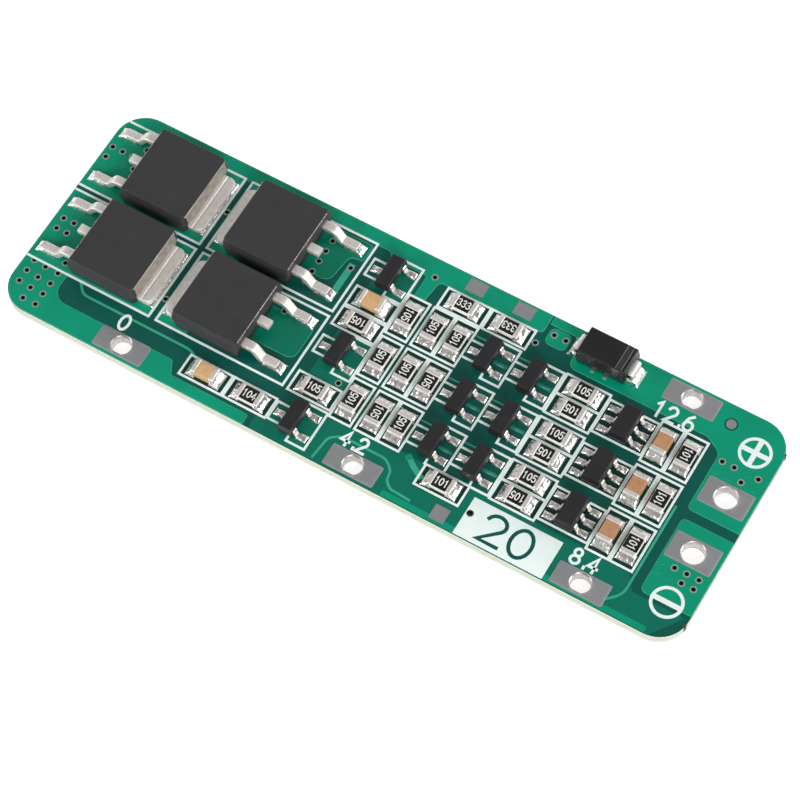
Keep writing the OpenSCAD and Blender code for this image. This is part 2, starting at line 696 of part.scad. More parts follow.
module diode_joints() {
    for (turn = [0, 180]) rotate(turn) translate([diode_span / 2, 0, 0])
        solder_joint(diode_foot_l, toe_l, diode_lead_w + 2 * pad_side, diode_h * tab_climb);
}

module solder_joints() {
    color(solder_silver) {
        for (p = all_resistors) at(p) chip_joints(resistor_h);
        for (p = all_capacitors) at(p) chip_joints(capacitor_h);
        for (p = all_small_transistors) at(p) sot_joints();
        for (y = channel_y) at([monitor_x, y]) monitor_joints();
        for (p = fet_places) at(p) fet_joints();
        at([diode_x, diode_y]) diode_joints();
    }
}

// Chip resistors and capacitors ---------------------------------------------------------------------

// A white ceramic block, a metal thickness short of the chip's full size at its ends, top and foot
module resistor_body(place) {
    color(alumina_white) at(place) translate([0, 0, seat_z + resistor_h / 2])
        cube([chip_l - 2 * chip_end_t, chip_w, resistor_h - 2 * chip_end_t], center = true);
}

// Two metal channels that wrap the block's ends
module resistor_ends(place) {
    color(tin_grey) at(place) for (turn = [0, 180]) rotate(turn) difference() {
        translate([chip_l / 2 - chip_end_l, -chip_w / 2, seat_z])
            cube([chip_end_l, chip_w, resistor_h]);
        translate([0, -chip_w, seat_z + chip_end_t])
            cube([chip_l / 2 - chip_end_t, 2 * chip_w, resistor_h - 2 * chip_end_t]);
    }
}

module resistor_glazes() {
    color(glaze_black) for (p = all_resistors) at(p)
        translate([0, 0, seat_z + resistor_h - chip_end_t + glaze_t / 2])
            cube([chip_l - 2 * chip_end_l, chip_w - 2 * glaze_side, glaze_t], center = true);
}

module capacitor_body(place) {
    color(ceramic_tan) at(place) translate([0, 0, seat_z + capacitor_h / 2])
        cube([chip_l - 2 * chip_end_t, chip_w - 2 * chip_end_t, capacitor_h - 2 * chip_end_t], center = true);
}

// A box with its twelve edges cut off at b
module bevelled_block(l, w, h, b) {
    intersection() {
        linear_extrude(h + over, center = true) bevelled_outline(l, w, b);
        rotate([90, 0, 0]) linear_extrude(w + over, center = true) bevelled_outline(l, h, b);
        rotate([90, 0, 90]) linear_extrude(l + over, center = true) bevelled_outline(w, h, b);
    }
}

module bevelled_outline(l, w, b) {
    polygon([
        [-l / 2 + b, -w / 2], [l / 2 - b, -w / 2], [l / 2, -w / 2 + b], [l / 2, w / 2 - b],
        [l / 2 - b, w / 2], [-l / 2 + b, w / 2], [-l / 2, w / 2 - b], [-l / 2, -w / 2 + b]
    ]);
}

// Two metal cups over the ends of the ceramic block
module capacitor_ends(place) {
    color(tin_grey) at(place) translate([0, 0, seat_z + capacitor_h / 2]) difference() {
        bevelled_block(chip_l, chip_w, capacitor_h, chip_end_t);
        cube([chip_l - 2 * chip_end_t, chip_w - 2 * chip_end_t, capacitor_h - 2 * chip_end_t], center = true);
        cube([chip_l - 2 * chip_end_l, 2 * chip_w, 2 * capacitor_h], center = true);
    }
}

// Small moulded parts -------------------------------------------------------------------------------

small_draft = 0.07;
small_bend_r = 0.12;
small_bend = 78;
lead_hold = 0.2;                     // how deep a small lead sits in its body

// Leads of a small moulded part: one row of them at the given places along the body's side
module small_leads(span, body_w, body_h, w, places) {
    for (y = places) translate([0, y, seat_z])
        bent_lead(body_w / 2 - lead_hold, span / 2, standoff + body_h / 2, sot_foot_l, small_lead_t, w,
            small_bend_r, small_bend);
}

module small_body(l, w, h) {
    translate([0, 0, seat_z + standoff]) rotate(90) moulded_block(l, w, h, h / 2, small_draft);
}

module transistor_lead_set() {
    small_leads(sot_span, sot_w, sot_h, sot_lead_w, [-sot_pitch / 2, sot_pitch / 2]);
    rotate(180) small_leads(sot_span, sot_w, sot_h, sot_lead_w, [0]);
}

module transistor_body(place) {
    color(mould_black) at(place) difference() {
        small_body(sot_l, sot_w, sot_h);
        transistor_lead_set();
    }
}

module transistor_leads(place) {
    color(tin_grey) at(place) transistor_lead_set();
}

module monitor_lead_set() {
    for (turn = [0, 180]) rotate(turn)
        small_leads(ic_span, ic_w, ic_h, ic_lead_w, [-ic_pitch, 0, ic_pitch]);
}

// A six-lead body, with a shallow round dimple that marks its first lead
module monitor_body(row) {
    color(mould_black) at([monitor_x, channel_y[row]]) difference() {
        small_body(ic_l, ic_w, ic_h);
        monitor_lead_set();
        translate([-ic_w / 4, ic_l / 2 - dimple_end, seat_z + standoff + ic_h - dimple_depth])
            cylinder(h = over, d = dimple_d);
    }
}

module monitor_leads(row) {
    color(tin_grey) at([monitor_x, channel_y[row]]) monitor_lead_set();
}

// Power transistors ---------------------------------------------------------------------------------

fet_draft = 0.18;
fet_bend_r = 0.42;
fet_bend = 56;
fet_hold = 0.5;                      // how deep a lead sits in the body
fet_plate_in = 1.3;                  // how far the drain plate stops short of the lead side
fet_stub_lap = 0.8;                  // how far the middle lead's root laps the plate
fet_stub_foot = 0.5;                 // flat part of that root
fet_stub_r = 0.3;
fet_stub_bend = 45;
groove_in = 0.13;                    // distance of the tab's coined groove from the body
groove_w = 0.22;
groove_depth = 0.08;

module fet_lead_pair() {
    for (y = [-1, 1]) translate([0, y * fet_lead_pitch, seat_z])
        bent_lead(fet_l / 2 - fet_hold, fet_lead_end, fet_lead_z, fet_foot_l, fet_metal_t, fet_lead_w,
            fet_bend_r, fet_bend);
}

// The drain plate under the body, its tab with two cut corners and a coined groove, and the cropped
// middle lead that steps up from the plate inside the body and comes out between the other two
module fet_drain() {
    plate_end = fet_l / 2 - fet_plate_in;
    difference() {
        translate([0, 0, seat_z]) linear_extrude(fet_metal_t) polygon([
            [plate_end, -fet_tab_w / 2], [plate_end, fet_tab_w / 2],
            [-fet_tab_end + fet_tab_cut, fet_tab_w / 2], [-fet_tab_end, fet_tab_w / 2 - fet_tab_cut],
            [-fet_tab_end, fet_tab_cut - fet_tab_w / 2], [-fet_tab_end + fet_tab_cut, -fet_tab_w / 2]
        ]);
        translate([-fet_l / 2 - groove_in - groove_w, -fet_w / 2, seat_z + fet_metal_t - groove_depth])
            cube([groove_w, fet_w, over]);
    }
    translate([0, 0, seat_z]) mirror([1, 0, 0])
        bent_lead(-fet_l / 2 - fet_stub_reach, -plate_end + fet_stub_lap, fet_lead_z, fet_stub_foot,
            fet_metal_t, fet_lead_w, fet_stub_r, fet_stub_bend);
}

// A moulded body with round corners on the tab side, and sockets that hold the plate and the leads
module fet_body_shape() {
    difference() {
        intersection() {
            translate([0, 0, seat_z]) moulded_block(fet_l, fet_w, fet_h, fet_lead_z, fet_draft);
            linear_extrude(seat_z + fet_h + over) fet_outline();
        }
        fet_lead_pair();
        fet_drain();
    }
}

module fet_outline() {
    r = fet_corner_r;
    translate([r - fet_l / 2, -fet_w / 2]) square([fet_l - r, fet_w]);
    translate([-fet_l / 2, r - fet_w / 2]) square([2 * r, fet_w - 2 * r]);
    for (s = [-1, 1]) translate([r - fet_l / 2, s * (fet_w / 2 - r)]) circle(r);
}

module fet_body(k) color(mould_black) at(fet_places[k]) fet_body_shape();
module fet_drain_tab(k) color(tin_grey) at(fet_places[k]) fet_drain();
module fet_leads(k) color(tin_grey) at(fet_places[k]) fet_lead_pair();

module back_left_mosfet_body() fet_body(0);
module back_left_mosfet_drain_tab() fet_drain_tab(0);
module back_left_mosfet_leads() fet_leads(0);
module front_left_mosfet_body() fet_body(1);
module front_left_mosfet_drain_tab() fet_drain_tab(1);
module front_left_mosfet_leads() fet_leads(1);
module back_right_mosfet_body() fet_body(2);
module back_right_mosfet_drain_tab() fet_drain_tab(2);
module back_right_mosfet_leads() fet_leads(2);
module front_right_mosfet_body() fet_body(3);
module front_right_mosfet_drain_tab() fet_drain_tab(3);
module front_right_mosfet_leads() fet_leads(3);

// Rectifier -----------------------------------------------------------------------------------------

diode_draft = 0.15;
diode_hold = 0.3;                    // how deep a lead sits in the body

// A strip that leaves the body half-way up, drops past its end and folds in under it
module diode_lead_shape() {
    out = diode_span / 2;
    t = diode_lead_t;
    mid = diode_gap + t + (diode_h - diode_gap - t) / 2;
    translate([0, 0, seat_z]) rotate([90, 0, 0]) linear_extrude(diode_lead_w, center = true) polygon([
        [diode_l / 2 - diode_hold, mid - t / 2], [out - t, mid - t / 2], [out - t, t],
        [out - diode_foot_l, t], [out - diode_foot_l, 0], [out - t / 2, 0], [out, t / 2],
        [out, mid], [out - t / 2, mid + t / 2], [diode_l / 2 - diode_hold, mid + t / 2]
    ]);
}

module diode_body() {
    low = diode_lead_t + diode_gap;
    h = diode_h - low;
    color(mould_black) at([diode_x, diode_y]) difference() {
        translate([0, 0, seat_z + low]) moulded_block(diode_l, diode_w, h, h / 2, diode_draft);
        for (turn = [0, 180]) rotate(turn) diode_lead_shape();
    }
}

module diode_anode_lead() color(tin_grey) at([diode_x, diode_y, 180]) diode_lead_shape();
module diode_cathode_lead() color(tin_grey) at([diode_x, diode_y]) diode_lead_shape();

// Groups --------------------------------------------------------------------------------------------

module driver_bodies() for (y = driver_y) transistor_body([driver_x, y]);
module driver_leads() for (y = driver_y) transistor_leads([driver_x, y]);
module driver_resistor_bodies() for (p = driver_resistors) resistor_body(p);
module driver_resistor_ends() for (p = driver_resistors) resistor_ends(p);
module driver_capacitor_bodies() for (p = driver_capacitors) capacitor_body(p);
module driver_capacitor_ends() for (p = driver_capacitors) capacitor_ends(p);

module channel_transistor_bodies(row) for (x = switch_x) transistor_body([x, channel_y[row]]);
module channel_transistor_leads(row) for (x = switch_x) transistor_leads([x, channel_y[row]]);
module channel_resistor_bodies(row) for (p = channel_resistors(row)) resistor_body(p);
module channel_resistor_ends(row) for (p = channel_resistors(row)) resistor_ends(p);
module channel_capacitor_body(row) capacitor_body(channel_capacitor(row));
module channel_capacitor_ends(row) capacitor_ends(channel_capacitor(row));

circuit_board();
legend_print();
via_barrels();
test_pads();
solder_joints();
resistor_glazes();
return_terminal();
first_tap_terminal();
second_tap_terminal();
third_tap_terminal();
output_plus_terminal();
output_minus_terminal();
back_left_mosfet_body();
back_left_mosfet_drain_tab();
back_left_mosfet_leads();
front_left_mosfet_body();
front_left_mosfet_drain_tab();
front_left_mosfet_leads();
back_right_mosfet_body();
back_right_mosfet_drain_tab();
back_right_mosfet_leads();
front_right_mosfet_body();
front_right_mosfet_drain_tab();
front_right_mosfet_leads();
diode_body();
diode_anode_lead();
diode_cathode_lead();
driver_bodies();
driver_leads();
driver_resistor_bodies();
driver_resistor_ends();
driver_capacitor_bodies();
driver_capacitor_ends();
channel_transistor_bodies(0);  // back_channel_transistor_bodies
channel_transistor_leads(0);  // back_channel_transistor_leads
monitor_body(0);  // back_channel_monitor_body
monitor_leads(0);  // back_channel_monitor_leads
channel_resistor_bodies(0);  // back_channel_resistor_bodies
channel_resistor_ends(0);  // back_channel_resistor_ends
channel_capacitor_body(0);  // back_channel_capacitor_body
channel_capacitor_ends(0);  // back_channel_capacitor_ends
channel_transistor_bodies(1);  // middle_channel_transistor_bodies
channel_transistor_leads(1);  // middle_channel_transistor_leads
monitor_body(1);  // middle_channel_monitor_body
monitor_leads(1);  // middle_channel_monitor_leads
channel_resistor_bodies(1);  // middle_channel_resistor_bodies
channel_resistor_ends(1);  // middle_channel_resistor_ends
channel_capacitor_body(1);  // middle_channel_capacitor_body
channel_capacitor_ends(1);  // middle_channel_capacitor_ends
channel_transistor_bodies(2);  // front_channel_transistor_bodies
channel_transistor_leads(2);  // front_channel_transistor_leads
monitor_body(2);  // front_channel_monitor_body
monitor_leads(2);  // front_channel_monitor_leads
channel_resistor_bodies(2);  // front_channel_resistor_bodies
channel_resistor_ends(2);  // front_channel_resistor_ends
channel_capacitor_body(2);  // front_channel_capacitor_body
channel_capacitor_ends(2);  // front_channel_capacitor_ends
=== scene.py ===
"""Battery management board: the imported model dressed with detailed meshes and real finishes."""

import logging
import math
from collections.abc import Iterable, Sequence
from dataclasses import dataclass, field
from enum import Enum
from typing import Any

import bmesh
import bpy
from mathutils import Matrix, Vector, noise


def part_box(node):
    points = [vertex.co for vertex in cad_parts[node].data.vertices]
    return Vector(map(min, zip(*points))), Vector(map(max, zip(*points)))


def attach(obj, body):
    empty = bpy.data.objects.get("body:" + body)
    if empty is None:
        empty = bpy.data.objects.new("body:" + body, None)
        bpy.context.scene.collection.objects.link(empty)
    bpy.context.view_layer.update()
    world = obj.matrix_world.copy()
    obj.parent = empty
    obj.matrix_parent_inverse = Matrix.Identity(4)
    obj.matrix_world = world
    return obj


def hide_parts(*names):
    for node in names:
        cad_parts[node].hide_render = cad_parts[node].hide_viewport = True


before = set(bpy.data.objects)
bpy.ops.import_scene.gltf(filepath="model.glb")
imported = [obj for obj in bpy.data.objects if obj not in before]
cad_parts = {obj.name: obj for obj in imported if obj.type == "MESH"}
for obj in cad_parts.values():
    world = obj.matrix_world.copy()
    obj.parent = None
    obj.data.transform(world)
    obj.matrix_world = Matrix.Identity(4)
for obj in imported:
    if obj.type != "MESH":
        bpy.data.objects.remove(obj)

MM = 0.001
SNAP = 1000                     # steps to the millimetre that the corners of solids are rounded to
SINK = 0.01                     # how deep a thin layer reaches into what it lies on
LOG = logging.getLogger("board")


# Measures and shapes ------------------------------------------------------------------------------

@dataclass(frozen=True)
class Box:
    """An upright block of space, in millimetres."""

    low: tuple[float, float, float]
    high: tuple[float, float, float]

    @property
    def middle(self) -> tuple[float, float, float]:
        """The block's centre."""
        return tuple((a + b) / 2 for a, b in zip(self.low, self.high))

    @property
    def size(self) -> tuple[float, float, float]:
        """The block's length, width and height."""
        return tuple(b - a for a, b in zip(self.low, self.high))

    def meets(self, other: "Box", slack: float = 0.01) -> bool:
        """Tell whether the two blocks overlap when seen from above.

        Args:
            other: the block to compare with.
            slack: how much overlap is let pass, in millimetres.

        Returns:
            True if their plans overlap.
        """
        return all(self.low[i] < other.high[i] - slack and other.low[i] < self.high[i] - slack
                   for i in (0, 1))


def box_of(name: str) -> Box:
    """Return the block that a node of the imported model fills.

    Args:
        name: the node.

    Returns:
        Its block, in millimetres.
    """
    low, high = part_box(name)
    return Box(tuple(v / MM for v in low), tuple(v / MM for v in high))


def solids_of(name: str) -> list[Box]:
    """Return the block of each separate solid in a node, in order of place.

    Args:
        name: the node.

    Returns:
        One block for each solid.
    """
    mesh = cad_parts[name].data
    places: dict[tuple[int, int, int], int] = {}
    parent: list[int] = []

    def root(k: int) -> int:
        """Follow a corner to the one that stands for its solid.

        Args:
            k: the corner's number.

        Returns:
            The number of the one that stands for it.
        """
        while parent[k] != k:
            parent[k] = parent[parent[k]]
            k = parent[k]
        return k

    ids = []
    for v in mesh.vertices:
        key = tuple(round(c / MM * SNAP) for c in v.co)
        if key not in places:
            places[key] = len(parent)
            parent.append(len(parent))
        ids.append(places[key])
    for face in mesh.polygons:
        first = root(ids[face.vertices[0]])
        for k in face.vertices[1:]:
            parent[root(ids[k])] = first
    found: dict[int, list[tuple[float, ...]]] = {}
    for key, k in places.items():
        found.setdefault(root(k), []).append(tuple(c / SNAP for c in key))
    boxes = [Box(tuple(min(p[i] for p in pts) for i in range(3)),
                 tuple(max(p[i] for p in pts) for i in range(3))) for pts in found.values()]
    return sorted(boxes, key=lambda b: (round(b.low[0], 2), round(b.low[1], 2)))


def grain(size: float) -> float:
    """Return the texture scale that gives a pattern of one real size.

    Args:
        size: the distance from one grain to the next, in millimetres.

    Returns:
        The scale to set on a texture that is laid in metres.
    """
    return 1 / (size * MM)


def rounded(l: float, w: float, radii: Sequence[float], steps: int = 4) -> list[tuple[float, float]]:
    """Return the outline of a rectangle with rounded corners, middle at the origin.

    Args:
        l: length along X.
        w: width along Y.
        radii: corner radii, from the corner at +X +Y and on anticlockwise.
        steps: short edges that make each corner.

    Returns:
        The outline's points, anticlockwise.
    """
    points = []
    for k, (sx, sy) in enumerate(((1, 1), (-1, 1), (-1, -1), (1, -1))):
        r = min(radii[k], l / 2 - 1e-4, w / 2 - 1e-4)
        for j in range(steps + 1):
            a = math.pi / 2 * (k + j / steps)
            points.append((sx * (l / 2 - r) + r * math.cos(a), sy * (w / 2 - r) + r * math.sin(a)))
    return points


def filleted(corners: Sequence[tuple[float, float, float]], steps: int = 6
             ) -> list[tuple[float, float]]:
    """Return an outline whose corners are rounded off.

    Args:
        corners: x, y and radius of each corner, in order.
        steps: short edges that make each corner.

    Returns:
        The outline's points.
    """
    points = []
    for k, (x, y, r) in enumerate(corners):
        here = Vector((x, y))
        back = (Vector(corners[k - 1][:2]) - here).normalized()
        on = (Vector(corners[(k + 1) % len(corners)][:2]) - here).normalized()
        turn = back.angle(on)
        if r <= 0 or turn > math.pi - 0.01:
            points.append((x, y))
            continue
        run = r / math.tan(turn / 2)
        start, end = here + back * run, here + on * run
        hub = here + (back + on).normalized() * (r / math.sin(turn / 2))
        for j in range(steps + 1):
            t = j / steps
            p = start.lerp(end, t) - hub
            points.append(tuple(hub + p.normalized() * r))
    return points


def circle(r: float, steps: int = 16) -> list[tuple[float, float]]:
    """Return a circle round the origin.

    Args:
        r: its radius.
        steps: how many points it has.

    Returns:
        The points, anticlockwise.
    """
    return [(r * math.cos(math.tau * k / steps), r * math.sin(math.tau * k / steps))
            for k in range(steps)]


def placed(outline: Iterable[tuple[float, float]], at: Sequence[float], z: float
           ) -> list[tuple[float, float, float]]:
    """Return an outline moved to its place and height.

    Args:
        outline: its points, round the origin.
        at: the place, of which only X and Y are used.
        z: the height.

    Returns:
        The points in space.
    """
    return [(at[0] + u, at[1] + v, z) for u, v in outline]


class Shape:
    """The corners and faces of one piece while it is made, in millimetres."""

    def __init__(self) -> None:
        """Start with nothing."""
        self.points: list[tuple[float, float, float]] = []
        self.faces: list[tuple[int, ...]] = []
        self.marks: list[int] = []

    def add(self, points: Iterable[Sequence[float]]) -> list[int]:
        """Add points.

        Args:
            points: x, y and z of each.

        Returns:
            The number of each point.
        """
        start = len(self.points)
        self.points.extend(tuple(p) for p in points)
        return list(range(start, len(self.points)))

    def face(self, corners: Sequence[int], mark: int = 0) -> None:
        """Add a face over points that are there already, in one finish."""
        self.faces.append(tuple(corners))
        self.marks.append(mark)

    def skin(self, rings: Sequence[Sequence[Sequence[float]]], marks: Sequence[int] | int = 0,
             caps: tuple[bool, bool] = (True, True), looped: bool = False) -> None:
        """Stretch a skin over rings that all have the same number of points.

        Args:
            rings: the rings, anticlockwise seen from the last towards the first.
            marks: the finish of each band between two rings, or one for all.
            caps: whether the first and the last ring are closed off.
            looped: whether the last ring joins the first.
        """
        made = [self.add(ring) for ring in rings]
        n = len(made[0])
        bands = list(zip(made, made[1:] + made[:1])) if looped else list(zip(made, made[1:]))
        for k, (a, b) in enumerate(bands):
            mark = marks if isinstance(marks, int) else marks[k]
            for i in range(n):
                j = (i + 1) % n
                self.face((a[i], a[j], b[j], b[i]), mark)
        if looped:
            return
        if caps[0]:
            self.face(made[0][::-1], marks if isinstance(marks, int) else marks[0])
        if caps[1]:
            self.face(made[-1], marks if isinstance(marks, int) else marks[-1])

    def block(self, box: Box, edge: float, mark: int = 0, corner: float | None = None) -> None:
        """Add a block whose edges and corners are rounded off.

        Args:
            box: the space it fills.
            edge: radius of its top and bottom edges.
            mark: its finish.
            corner: radius of its upright corners, if that isn't the same.
        """
        l, w, _ = box.size
        corner = edge if corner is None else corner
        rings = []
        for k in range(8):
            a = math.pi / 2 * (k % 4) / 3
            dip = edge * (1 - (math.sin(a) if k < 4 else math.cos(a)))
            z = box.low[2] + edge * (1 - math.cos(a)) if k < 4 else \
                box.high[2] - edge * (1 - math.sin(a))
            r = max(corner - dip * 0.5, 0.005)
            rings.append(placed(rounded(l - 2 * dip, w - 2 * dip, (r,) * 4, 3), box.middle, z))
        self.skin(rings, mark)

    def stroke(self, line: Sequence[tuple[float, float]], width: float, low: float, high: float,
               mark: int = 0, looped: bool = False) -> None:
        """Add a flat painted line of one width.

        Args:
            line: the points along its middle.
            width: its width.
            low: height of its underside.
            high: height of its face.
            mark: its finish.
            looped: whether its end joins its start.
        """
        line = [Vector(p) for p in line]
        n = len(line)
        sides: list[list[Vector]] = [[], []]
        for k, p in enumerate(line):
            back = line[k - 1] if k or looped else None
            on = line[(k + 1) % n] if k < n - 1 or looped else None
            a = (p - back).normalized() if back is not None else None
            b = (on - p).normalized() if on is not None else None
            along = ((a or b) + (b or a)).normalized()
            # A sharp corner is cut short, not drawn out to a point
            across = Vector((-along.y, along.x))
            reach = width / 2 / max(0.45, across.dot(Vector((-(a or b).y, (a or b).x))))
            grow = Vector((0, 0)) if looped or (a and b) else (b or -a) * (-width / 2)
            for side, s in zip(sides, (1, -1)):
                side.append(p + grow + across * reach * s)
        rings = [[(*sides[0][k], low), (*sides[1][k], low), (*sides[1][k], high),
                  (*sides[0][k], high)] for k in range(n)]
        self.skin([ring[::-1] for ring in rings], mark, looped=looped)

    def build(self, name: str, finishes: Sequence["Finish"], slot: str,
              stands_for: Sequence[str] = (), edge: float = 0.0, smooth: float = 38) -> bpy.types.Object:
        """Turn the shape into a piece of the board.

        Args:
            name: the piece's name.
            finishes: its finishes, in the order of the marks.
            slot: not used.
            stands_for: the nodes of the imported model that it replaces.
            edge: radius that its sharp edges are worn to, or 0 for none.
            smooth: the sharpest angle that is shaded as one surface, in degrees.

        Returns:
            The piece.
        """
        mesh = bpy.data.meshes.new(name)
        mesh.from_pydata([tuple(c * MM for c in p) for p in self.points], [], self.faces)
        for finish in finishes:
            mesh.materials.append(finish.material())
        mesh.polygons.foreach_set("material_index", self.marks)
        work = bmesh.new()
        work.from_mesh(mesh)
        bmesh.ops.recalc_face_normals(work, faces=work.faces)
        work.to_mesh(mesh)
        work.free()
        mesh.shade_smooth()
        mesh.set_sharp_from_angle(angle=math.radians(smooth))
        piece = bpy.data.objects.new(name, mesh)
        bpy.context.scene.collection.objects.link(piece)
        if edge:
            bevel = piece.modifiers.new("worn edges", "BEVEL")
            bevel.width = edge * MM
            bevel.segments = 2
            bevel.limit_method = "ANGLE"
            bevel.angle_limit = math.radians(35)
            bevel.harden_normals = True
        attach(piece, "root")
        if stands_for:
            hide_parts(*stands_for)
        LOG.info("made %s, %d faces", name, len(mesh.polygons))
        return piece


def dress(name: str, finish: "Finish") -> None:
    """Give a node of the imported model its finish.

    Args:
        name: the node.
        finish: its finish.
    """
    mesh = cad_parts[name].data
    mesh.materials.clear()
    mesh.materials.append(finish.material())
    LOG.info("dressed %s", name)


# Finishes -----------------------------------------------------------------------------------------

def linear(colour: str) -> tuple[float, float, float, float]:
    """Turn an sRGB hex colour into linear light.

    Args:
        colour: such as "#0f7a63".

    Returns:
        Linear red, green and blue, and 1 for alpha.
    """
    parts = [int(colour[k:k + 2], 16) / 255 for k in (1, 3, 5)]
    return (*(c / 12.92 if c <= 0.04045 else ((c + 0.055) / 1.055) ** 2.4 for c in parts), 1.0)


def add(tree: bpy.types.NodeTree, kind: str, settings: dict[str, Any] | None = None,
        inputs: dict[str | int, Any] | None = None) -> bpy.types.Node:
    """Add a node with its settings and links.

    Args:
        tree: the tree it goes in.
        kind: the node's Blender type.
        settings: properties to set on it.
        inputs: a value or an output to link for each named input.

    Returns:
        The node.
    """
    made = tree.nodes.new(kind)
    for key, value in (settings or {}).items():
        setattr(made, key, value)
    for key, value in (inputs or {}).items():
        if isinstance(value, bpy.types.NodeSocket):
            tree.links.new(value, made.inputs[key])
        else:
            made.inputs[key].default_value = value
    return made


@dataclass(frozen=True)
class Surface:
    """What a finish is worked into: a material's tree, its shader, and the place on the piece."""

    tree: bpy.types.NodeTree
    shader: bpy.types.Node
    where: bpy.types.NodeSocket

    def clouds(self, size: float, detail: float,
               where: bpy.types.NodeSocket | None = None) -> bpy.types.NodeSocket:
        """Lay out a cloudy pattern.

        Args:
            size: size of a cloud, in millimetres.
            detail: how many finer sizes are laid over the first.
            where: the place on the piece, if it isn't the plain one.

        Returns:
            The pattern, from 0 to 1.
        """
        return add(self.tree, "ShaderNodeTexNoise", None,
                   {"Vector": where or self.where, "Scale": grain(size), "Detail": detail}).outputs["Fac"]

    def crystals(self, size: float) -> bpy.types.NodeSocket:
        """Lay out a pattern of cells of one size in millimetres, and return it."""
        return add(self.tree, "ShaderNodeTexVoronoi", {"feature": "F1"},
                   {"Vector": self.where, "Scale": grain(size)}).outputs["Distance"]

    def two_colours(self, part: bpy.types.NodeSocket, first: str, second: str) -> None:
        """Colour the surface with a mix of two colours.

        Args:
            part: how much of the second colour shows, from 0 to 1.
            first: the first colour.
            second: the second colour.
        """
        mix = add(self.tree, "ShaderNodeMix", {"data_type": "RGBA"},
                  {"Factor": part, 6: linear(first), 7: linear(second)})
        self.tree.links.new(mix.outputs[2], self.shader.inputs["Base Color"])

    def relief(self, height: bpy.types.NodeSocket, depth: float,
               under: bpy.types.NodeSocket | None = None) -> bpy.types.NodeSocket:
        """Give the surface fine relief.

        Args:
            height: the pattern, from 0 to 1.
            depth: how deep the pattern goes, in millimetres.
            under: relief that this one lies over.

        Returns:
            The relief, for another to lie over.
        """
        bump = add(self.tree, "ShaderNodeBump", None,
                   {"Height": height, "Distance": depth * MM, "Strength": 1.0,
                    **({"Normal": under} if under else {})})
        self.tree.links.new(bump.outputs["Normal"], self.shader.inputs["Normal"])
        return bump.outputs["Normal"]


@dataclass(frozen=True)
class Finish:
    """A surface as it was made: its colours, its gloss, and the fine detail that its class adds."""

    name: str
    colour: str
    other: str                  # the colour of its patches
    roughness: float
    metallic: float = 0.0
    ior: float = 1.5

    def material(self) -> bpy.types.Material:
        """Make the finish's material when it is first asked for.

        Returns:
            The material.
        """
        known = bpy.data.materials.get(self.name)
        if known:
            return known
        made = bpy.data.materials.new(self.name)
        made.use_nodes = True
        tree = made.node_tree
        shader = tree.nodes["Principled BSDF"]
        shader.inputs["Base Color"].default_value = linear(self.colour)
        shader.inputs["Roughness"].default_value = self.roughness
        shader.inputs["Metallic"].default_value = self.metallic
        if not self.metallic:
            shader.inputs["IOR"].default_value = self.ior
        self.work(Surface(tree, shader, add(tree, "ShaderNodeTexCoord").outputs["Object"]))
        return made

    def work(self, on: Surface) -> None:
        """Add the detail that the finish shows. Each kind of finish has its own."""
        raise NotImplementedError

    def mottle(self, on: Surface, size: float, spread: tuple[float, float] = (0.35, 0.65),
               detail: float = 3.0) -> bpy.types.NodeSocket:
        """Vary the colour softly between the finish's two.

        Args:
            on: the surface.
            size: size of a patch, in millimetres.
            spread: the noise values where the change starts and ends.
            detail: how many finer sizes are laid over the first.

        Returns:
            The noise, for other uses.
        """
        cloud = add(on.tree, "ShaderNodeTexNoise", None,
                    {"Vector": on.where, "Scale": grain(size), "Detail": detail, "Roughness": 0.6})
        part = add(on.tree, "ShaderNodeMapRange", None,
                   {"Value": cloud.outputs["Fac"], "From Min": spread[0], "From Max": spread[1]})
        on.two_colours(part.outputs["Result"], self.colour, self.other)
        return cloud.outputs["Fac"]

    def uneven_gloss(self, on: Surface, pattern: bpy.types.NodeSocket, less: float,
                     more: float) -> None:
        """Let the roughness vary with a pattern.

        Args:
            on: the surface.
            pattern: the pattern, from 0 to 1.
            less: how much smoother it is where the pattern is low.
            more: how much rougher it is where the pattern is high.
        """
        part = add(on.tree, "ShaderNodeMapRange", None,
                   {"Value": pattern, "From Min": 0.3, "From Max": 0.7,
                    "To Min": self.roughness - less, "To Max": self.roughness + more})
        on.tree.links.new(part.outputs["Result"], on.shader.inputs["Roughness"])


@dataclass(frozen=True)
class SolderMask(Finish):
    """Liquid photo-imaged solder mask, curtain coated and cured: a clear green varnish. Over copper
    it is bright and even; over bare laminate it is darker, and the glass weave shows through."""

    weave: float = 0.0

    def work(self, on: Surface) -> None:
        """Add soft patches, the varnish's orange peel, and the weave under it.

        Args:
            on: the surface.
        """
        cloud = self.mottle(on, 3.0, (0.3, 0.75))
        # The orange peel of the cured varnish is about half a millimetre across
        under = on.relief(on.clouds(0.5, 2.0), 0.004)
        if self.weave:
            # The texture turns 20 radians for each unit, so the ripples of the cloth are 3 mm apart
            for axis in ("X", "Y"):
                ripple = add(on.tree, "ShaderNodeTexWave", {"bands_direction": axis},
                             {"Vector": on.where, "Scale": grain(0.5) / 20, "Distortion": 0.6,
                              "Detail Scale": 1.0})
                under = on.relief(ripple.outputs["Fac"], self.weave, under)
        self.uneven_gloss(on, cloud, 0.05, 0.08)


